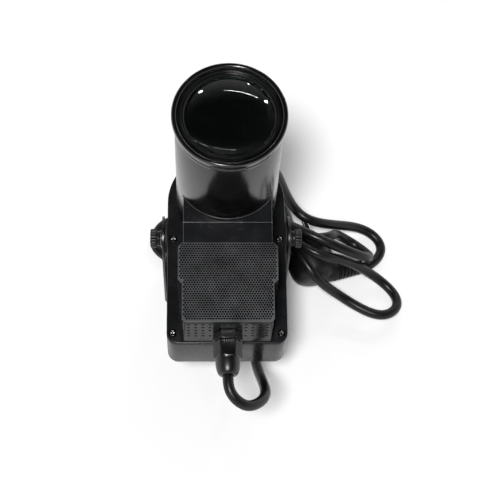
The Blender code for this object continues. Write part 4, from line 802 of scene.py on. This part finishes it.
# %% Gland nut
GLAND_AXIS = (0.0, 0.0, 0.1195)
gland_frame = frame_along(GLAND_AXIS, (0.0, -1.0, 0.0))
NUT_START = 59.0 * MM
NUT_END = 70.0 * MM
GLAND_TIP = 80.6 * MM
NUT_FLATS = 8.0 * MM
NUT_CORNER = 8.9 * MM
RIB_DEPTH = 0.22 * MM
DOME_FOOT = 7.8 * MM
DOME_TIP = 4.7 * MM
GLAND_BORE = 3.55 * MM


def nut_shape(radius, height, turn):
    """Radius of the nut: a hexagon with ribs up to its end, then round."""
    if radius < NUT_FLATS - 0.05 * MM or height > NUT_END + 0.05 * MM:
        return radius
    part = turn % (math.pi / 3) - math.pi / 6
    reach = min(NUT_FLATS / math.cos(part), NUT_CORNER + radius - NUT_FLATS)
    inner = NUT_START + 1.4 * MM < height < NUT_END - 1.0 * MM
    rib = 0.5 + 0.5 * math.cos(part * 48.0)
    return reach - (RIB_DEPTH * rib if inner and abs(part) < 0.42 else 0.0)


nut_profile = [(GLAND_BORE + 3.0 * MM, NUT_START), (NUT_FLATS - 0.3 * MM, NUT_START),
               (NUT_FLATS, NUT_START + 0.4 * MM), (NUT_FLATS, NUT_START + 1.3 * MM),
               (NUT_FLATS, NUT_START + 1.6 * MM), (NUT_FLATS, NUT_END - 1.2 * MM),
               (NUT_FLATS, NUT_END - 0.9 * MM), (NUT_FLATS, NUT_END - 0.3 * MM),
               (DOME_FOOT, NUT_END + 0.1 * MM)]
DOME_RINGS = 14
for index in range(1, DOME_RINGS + 1):
    share = index / DOME_RINGS
    radius = DOME_FOOT - (DOME_FOOT - DOME_TIP) * (1.0 - math.cos(share * math.pi / 2))
    height = NUT_END + (GLAND_TIP - NUT_END) * math.sin(share * math.pi / 2)
    nut_profile.append((radius, height))
nut_profile += [(GLAND_BORE, GLAND_TIP), (GLAND_BORE, GLAND_TIP - 6.0 * MM),
                (GLAND_BORE + 3.0 * MM, NUT_START + 6.0 * MM)]
nut = put(lathe("gland_nut", nut_profile, gland_frame, 288, True, nut_shape, 50.0), "head",
          "gland_nylon", "gland_dome_nut")
print("gland nut faces:", len(nut.data.polygons))

# %% [markdown]
# ## Clamp knobs
# Each clamp screw has a small black knob: a smooth collar against the washer and a head with
# grip flutes. The flutes come from the same lathe, with a cosine that bites into the head's radius.

# %% Knobs
KNOB_RADIUS = 6.25 * MM
KNOB_COLLAR_RADIUS = 4.8 * MM
KNOB_FLUTES = 16
KNOB_BORE = 2.8 * MM
FLUTE_DEPTH = 0.55 * MM


def knob_shape(radius, height, turn):
    """Flutes round the knob's head only."""
    if radius < KNOB_RADIUS - 0.3 * MM:
        return radius
    return radius - FLUTE_DEPTH * (0.5 + 0.5 * math.cos(turn * KNOB_FLUTES)) ** 3


def make_knob(side, direction):
    """One knob from the collar against the washer out to the head's end."""
    low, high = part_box(f"knob_{side}")
    collar = min(abs(low.x), abs(high.x))
    top = max(abs(low.x), abs(high.x))
    shoulder = collar + 1.9 * MM
    place = (0.0, (low.y + high.y) / 2, (low.z + high.z) / 2)
    profile = [(KNOB_BORE, collar), (KNOB_COLLAR_RADIUS - 0.3 * MM, collar),
               (KNOB_COLLAR_RADIUS, collar + 0.3 * MM), (KNOB_COLLAR_RADIUS, shoulder - 0.2 * MM),
               (KNOB_COLLAR_RADIUS + 0.3 * MM, shoulder), (KNOB_RADIUS - 0.7 * MM, shoulder),
               (KNOB_RADIUS - 0.1 * MM, shoulder + 0.3 * MM), (KNOB_RADIUS, shoulder + 0.8 * MM),
               (KNOB_RADIUS, top - 0.9 * MM), (KNOB_RADIUS - 0.1 * MM, top - 0.4 * MM),
               (KNOB_RADIUS - 0.8 * MM, top - 0.05 * MM), (KNOB_RADIUS - 2.0 * MM, top),
               (KNOB_RADIUS - 2.6 * MM, top - 0.4 * MM), (0.0, top - 0.5 * MM),
               (0.0, top - 1.6 * MM), (KNOB_BORE, top - 1.6 * MM)]
    first = 14
    ordered = profile[first:] + profile[:first]
    knob = lathe(f"clamp_knob_{side}", ordered, frame_along(place, (direction, 0.0, 0.0)), 192,
                 False, knob_shape, 50.0)
    return put(knob, f"knob_{side}_body", "knob_black", f"knob_{side}")


for side, direction in (("left", -1.0), ("right", 1.0)):
    print("knob faces:", side, len(make_knob(side, direction).data.polygons))

# %% [markdown]
# ## Plug and strain relief
# The plug is moulded rubber: a round body that narrows a little towards the back, with a neck at
# its side where the cord comes in. Joining the two shapes, remeshing them as voxels and smoothing
# the result gives the soft fillet between them that a mould has. The flat seats of the earth clips
# are cut after that, since remeshing would round them off.

# %% Plug frame
PLUG_PLACE = (0.0582, 0.0468, 0.0168)
PLUG_RADIUS = 16.5 * MM
PLUG_DEPTH = 28.0 * MM
PLUG_RIM = 9.0 * MM
NECK_PLACE = 20.0 * MM
NECK_RADIUS = 7.6 * MM
NECK_LENGTH = 17.0 * MM
PLUG_TURN = math.radians(13.0)
PLUG_ROLL = math.radians(15.0)
QUARTER = math.radians(90.0)
plug_frame = (Matrix.Translation(PLUG_PLACE) @ Matrix.Rotation(PLUG_TURN, 4, "Z")
              @ Matrix.Rotation(PLUG_ROLL, 4, "Y") @ Matrix.Rotation(-QUARTER, 4, "X"))
neck_frame = (plug_frame @ Matrix.Translation((0.0, 0.0, -NECK_PLACE))
              @ Matrix.Rotation(QUARTER, 4, "Y"))


def apply_modifiers(piece):
    """Make what the modifiers give the piece's own mesh."""
    depsgraph = bpy.context.evaluated_depsgraph_get()
    mesh = bpy.data.meshes.new_from_object(piece.evaluated_get(depsgraph))
    piece.modifiers.clear()
    piece.data = mesh
    return piece


def boolean(piece, other, operation):
    """Join or cut a piece with another and drop the other."""
    tool = piece.modifiers.new("boolean", "BOOLEAN")
    tool.operation = operation
    tool.solver = "EXACT"
    tool.object = other
    apply_modifiers(piece)
    bpy.data.objects.remove(other)
    return piece


# %% Plug body
PLUG_STEPS = 20
PLUG_VOXEL = 0.55 * MM
SOFT_STEPS = 6
SEAT_GROWTH = 1.08


def make_plug():
    """Round body and side neck, joined, softened, then cut for the earth clips."""
    profile = [(0.0, 0.0), (PLUG_RADIUS - 1.2 * MM, 0.0), (PLUG_RADIUS - 0.3 * MM, -0.4 * MM),
               (PLUG_RADIUS, -1.2 * MM)]
    for index in range(PLUG_STEPS + 1):
        share = index / PLUG_STEPS
        narrow = math.sqrt(max(0.0, 1.0 - 0.35 * share ** 2 - 0.65 * share ** 6))
        profile.append((PLUG_RADIUS * narrow, -PLUG_RIM - share * (PLUG_DEPTH - PLUG_RIM)))
    profile[-1] = (0.0, -PLUG_DEPTH)
    body = lathe("plug_moulding", profile, plug_frame, 96)
    neck_profile = [(0.0, 0.0), (NECK_RADIUS, 0.0), (NECK_RADIUS, NECK_LENGTH - 0.5 * MM),
                    (NECK_RADIUS - 0.5 * MM, NECK_LENGTH), (0.0, NECK_LENGTH)]
    boolean(body, lathe("plug_neck", neck_profile, neck_frame, 64), "UNION")
    remesh = body.modifiers.new("voxels", "REMESH")
    remesh.mode = "VOXEL"
    remesh.voxel_size = PLUG_VOXEL
    soft = body.modifiers.new("soft", "SMOOTH")
    soft.factor = 0.5
    soft.iterations = SOFT_STEPS
    apply_modifiers(body)
    for index in (1, 2):
        low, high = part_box(f"plug_earth_clip_{index}")
        seat = bpy.data.objects.new("clip_seat", nodes[f"plug_earth_clip_{index}"].data.copy())
        scene.collection.objects.link(seat)
        middle = (low + high) / 2
        seat.matrix_world = (Matrix.Translation(middle) @ Matrix.Scale(SEAT_GROWTH, 4)
                             @ Matrix.Translation(-middle))
        boolean(body, seat, "DIFFERENCE")
    body.data.shade_smooth()
    return body


plug = put(make_plug(), "bracket", "plug_rubber", "plug_body")
print("plug faces:", len(plug.data.polygons))

# %% Strain relief
RELIEF_START = NECK_LENGTH + 0.1 * MM
RELIEF_END = 37.3 * MM
RELIEF_FOOT = 7.4 * MM
RELIEF_TIP = 4.8 * MM
RELIEF_RIBS = 6
RELIEF_CUT = 1.1 * MM
RELIEF_RINGS = 96
GROOVE_SHARPNESS = 2.6


def relief_profile():
    """A cone whose radius dips between its ribs."""
    profile = [(0.0, RELIEF_START), (RELIEF_FOOT - 0.3 * MM, RELIEF_START)]
    for index in range(1, RELIEF_RINGS):
        share = index / RELIEF_RINGS
        cone = RELIEF_FOOT + (RELIEF_TIP - RELIEF_FOOT) * share
        wave = 0.5 - 0.5 * math.cos(2 * math.pi * share * (RELIEF_RIBS + 1))
        dip = RELIEF_CUT * max(0.0, 1.0 - (1.0 - wave) * GROOVE_SHARPNESS)
        profile.append((cone - dip, RELIEF_START + share * (RELIEF_END - RELIEF_START)))
    return profile + [(RELIEF_TIP - 0.3 * MM, RELIEF_END), (0.0, RELIEF_END)]


relief = put(lathe("strain_relief", relief_profile(), neck_frame, 72), "bracket", "plug_rubber",
             "plug_strain_relief")
print("relief faces:", len(relief.data.polygons))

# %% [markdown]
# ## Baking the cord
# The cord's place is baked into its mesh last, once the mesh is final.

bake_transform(cord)

# %% [markdown]
# ## Floor
# The light stands on a white sweep. The floor is plain white and takes the object's shadow. To
# the camera, and in reflections, it glows a little as well, and more the further out it is, so that
# it stays white where the lamps fall off, without more light on the object.

# %% Floor
def seen_directly(material_nodes, links):
    """One for camera, glossy and transmission rays, and nothing for the rest."""
    path = material_nodes.new("ShaderNodeLightPath")
    total = None
    for name in ("Is Camera Ray", "Is Glossy Ray", "Is Transmission Ray"):
        if total is None:
            total = path.outputs[name]
            continue
        most = material_nodes.new("ShaderNodeMath")
        most.operation = "MAXIMUM"
        links.new(total, most.inputs[0])
        links.new(path.outputs[name], most.inputs[1])
        total = most.outputs[0]
    return total


FLOOR_SIZE = 6.0
FLOOR_COLOUR = 0.88
FLOOR_GLOW = 0.12
FAR_GLOW = 0.85
GLOW_FROM = 0.32
GLOW_TO = 1.3
FLOOR_DROP = 0.0002


def make_floor():
    """A wide white floor that keeps shadows."""
    half = FLOOR_SIZE / 2
    corners = [(-half, -half), (half, -half), (half, half), (-half, half)]
    floor = new_object("floor", [(x, y, -FLOOR_DROP) for x, y in corners], [(0, 1, 2, 3)])
    material = bpy.data.materials.new("white_sweep")
    material.use_nodes = True
    shader = material.node_tree.nodes["Principled BSDF"]
    shader.inputs["Base Color"].default_value = (FLOOR_COLOUR, FLOOR_COLOUR, FLOOR_COLOUR, 1.0)
    shader.inputs["Roughness"].default_value = 0.9
    shader.inputs["Specular IOR Level"].default_value = 0.0
    shader.inputs["Emission Color"].default_value = (1.0, 1.0, 1.0, 1.0)
    direct = seen_directly(material.node_tree.nodes, material.node_tree.links)
    place = add_node(material, "ShaderNodeTexCoord")
    reach = add_node(material, "ShaderNodeVectorMath")
    reach.operation = "LENGTH"
    link(material, place.outputs["Object"], reach.inputs[0])
    growth = add_node(material, "ShaderNodeMapRange", From_Min=GLOW_FROM, From_Max=GLOW_TO,
                      To_Min=FLOOR_GLOW, To_Max=FAR_GLOW)
    link(material, reach.outputs["Value"], growth.inputs["Value"])
    glow = add_node(material, "ShaderNodeMath")
    glow.operation = "MULTIPLY"
    link(material, growth.outputs["Result"], glow.inputs[1])
    link(material, direct, glow.inputs[0])
    link(material, glow.outputs[0], shader.inputs["Emission Strength"])
    floor.data.materials.append(material)
    return floor


make_floor()
print("floor:", FLOOR_SIZE, "m wide")

# %% [markdown]
# ## Room and lamps
# A black glossy thing shows mostly what is around it. The room is white at eye level and darker
# overhead, as in a studio with a dark ceiling, so flat faces that look up stay black. One broad
# lamp near the camera gives the soft shadow that hugs the object's right side. Three small round
# lamps behind it put the bright points on the lens, and a thin strip between them puts the arc.

# %% World
SKY = (("From Min", 0.12), ("From Max", 0.72), ("To Min", 1.0), ("To Max", 0.004))
FILL = 0.17


def make_world():
    """White near the horizon and dark overhead, for what is seen, and an even fill for the rest."""
    world = bpy.data.worlds.new("room")
    scene.world = world
    world.use_nodes = True
    tree = world.node_tree
    tree.nodes.clear()
    out = tree.nodes.new("ShaderNodeOutputWorld")
    where = tree.nodes.new("ShaderNodeTexCoord")
    parts = tree.nodes.new("ShaderNodeSeparateXYZ")
    ramp = tree.nodes.new("ShaderNodeMapRange")
    ramp.interpolation_type = "SMOOTHSTEP"
    for name, value in SKY:
        ramp.inputs[name].default_value = value
    seen = tree.nodes.new("ShaderNodeBackground")
    fill = tree.nodes.new("ShaderNodeBackground")
    for background in (seen, fill):
        background.inputs["Color"].default_value = (1.0, 1.0, 1.0, 1.0)
    fill.inputs["Strength"].default_value = FILL
    choose = tree.nodes.new("ShaderNodeMixShader")
    tree.links.new(where.outputs["Generated"], parts.inputs[0])
    tree.links.new(parts.outputs["Z"], ramp.inputs["Value"])
    tree.links.new(ramp.outputs["Result"], seen.inputs["Strength"])
    tree.links.new(seen_directly(tree.nodes, tree.links), choose.inputs[0])
    tree.links.new(fill.outputs[0], choose.inputs[1])
    tree.links.new(seen.outputs[0], choose.inputs[2])
    tree.links.new(choose.outputs[0], out.inputs["Surface"])


make_world()
print("room made")

# %% Lamps
AIM = Vector((0.02, 0.02, 0.1))
KEY_DISTANCE = 3.0
POINT_DISTANCE = 1.3


def add_lamp(name, direction, distance, size, power, height=None):
    """A soft lamp that shines at the light from a direction: round, or a strip of some height."""
    data = bpy.data.lights.new(name, "AREA")
    data.shape = "DISK" if height is None else "RECTANGLE"
    data.size = size
    if height is not None:
        data.size_y = height
    data.energy = power
    lamp = bpy.data.objects.new(name, data)
    scene.collection.objects.link(lamp)
    back = Vector(direction).normalized()
    lamp.location = AIM + back * distance
    lamp.rotation_euler = back.to_track_quat("Z", "Y").to_euler()
    return lamp


add_lamp("key", (-0.13, -0.36, 1.0), KEY_DISTANCE, 0.5, 80.0)
add_lamp("point_left", (-0.34, 0.75, 0.54), POINT_DISTANCE, 0.07, 0.7)
add_lamp("point_back", (0.225, 0.86, 0.44), POINT_DISTANCE, 0.055, 0.4)
add_lamp("point_right", (0.465, 0.65, 0.6), POINT_DISTANCE, 0.07, 0.7)
add_lamp("strip", (0.15, 0.75, 0.645), POINT_DISTANCE, 0.56, 0.9, height=0.018)
scene.view_settings.view_transform = "Standard"
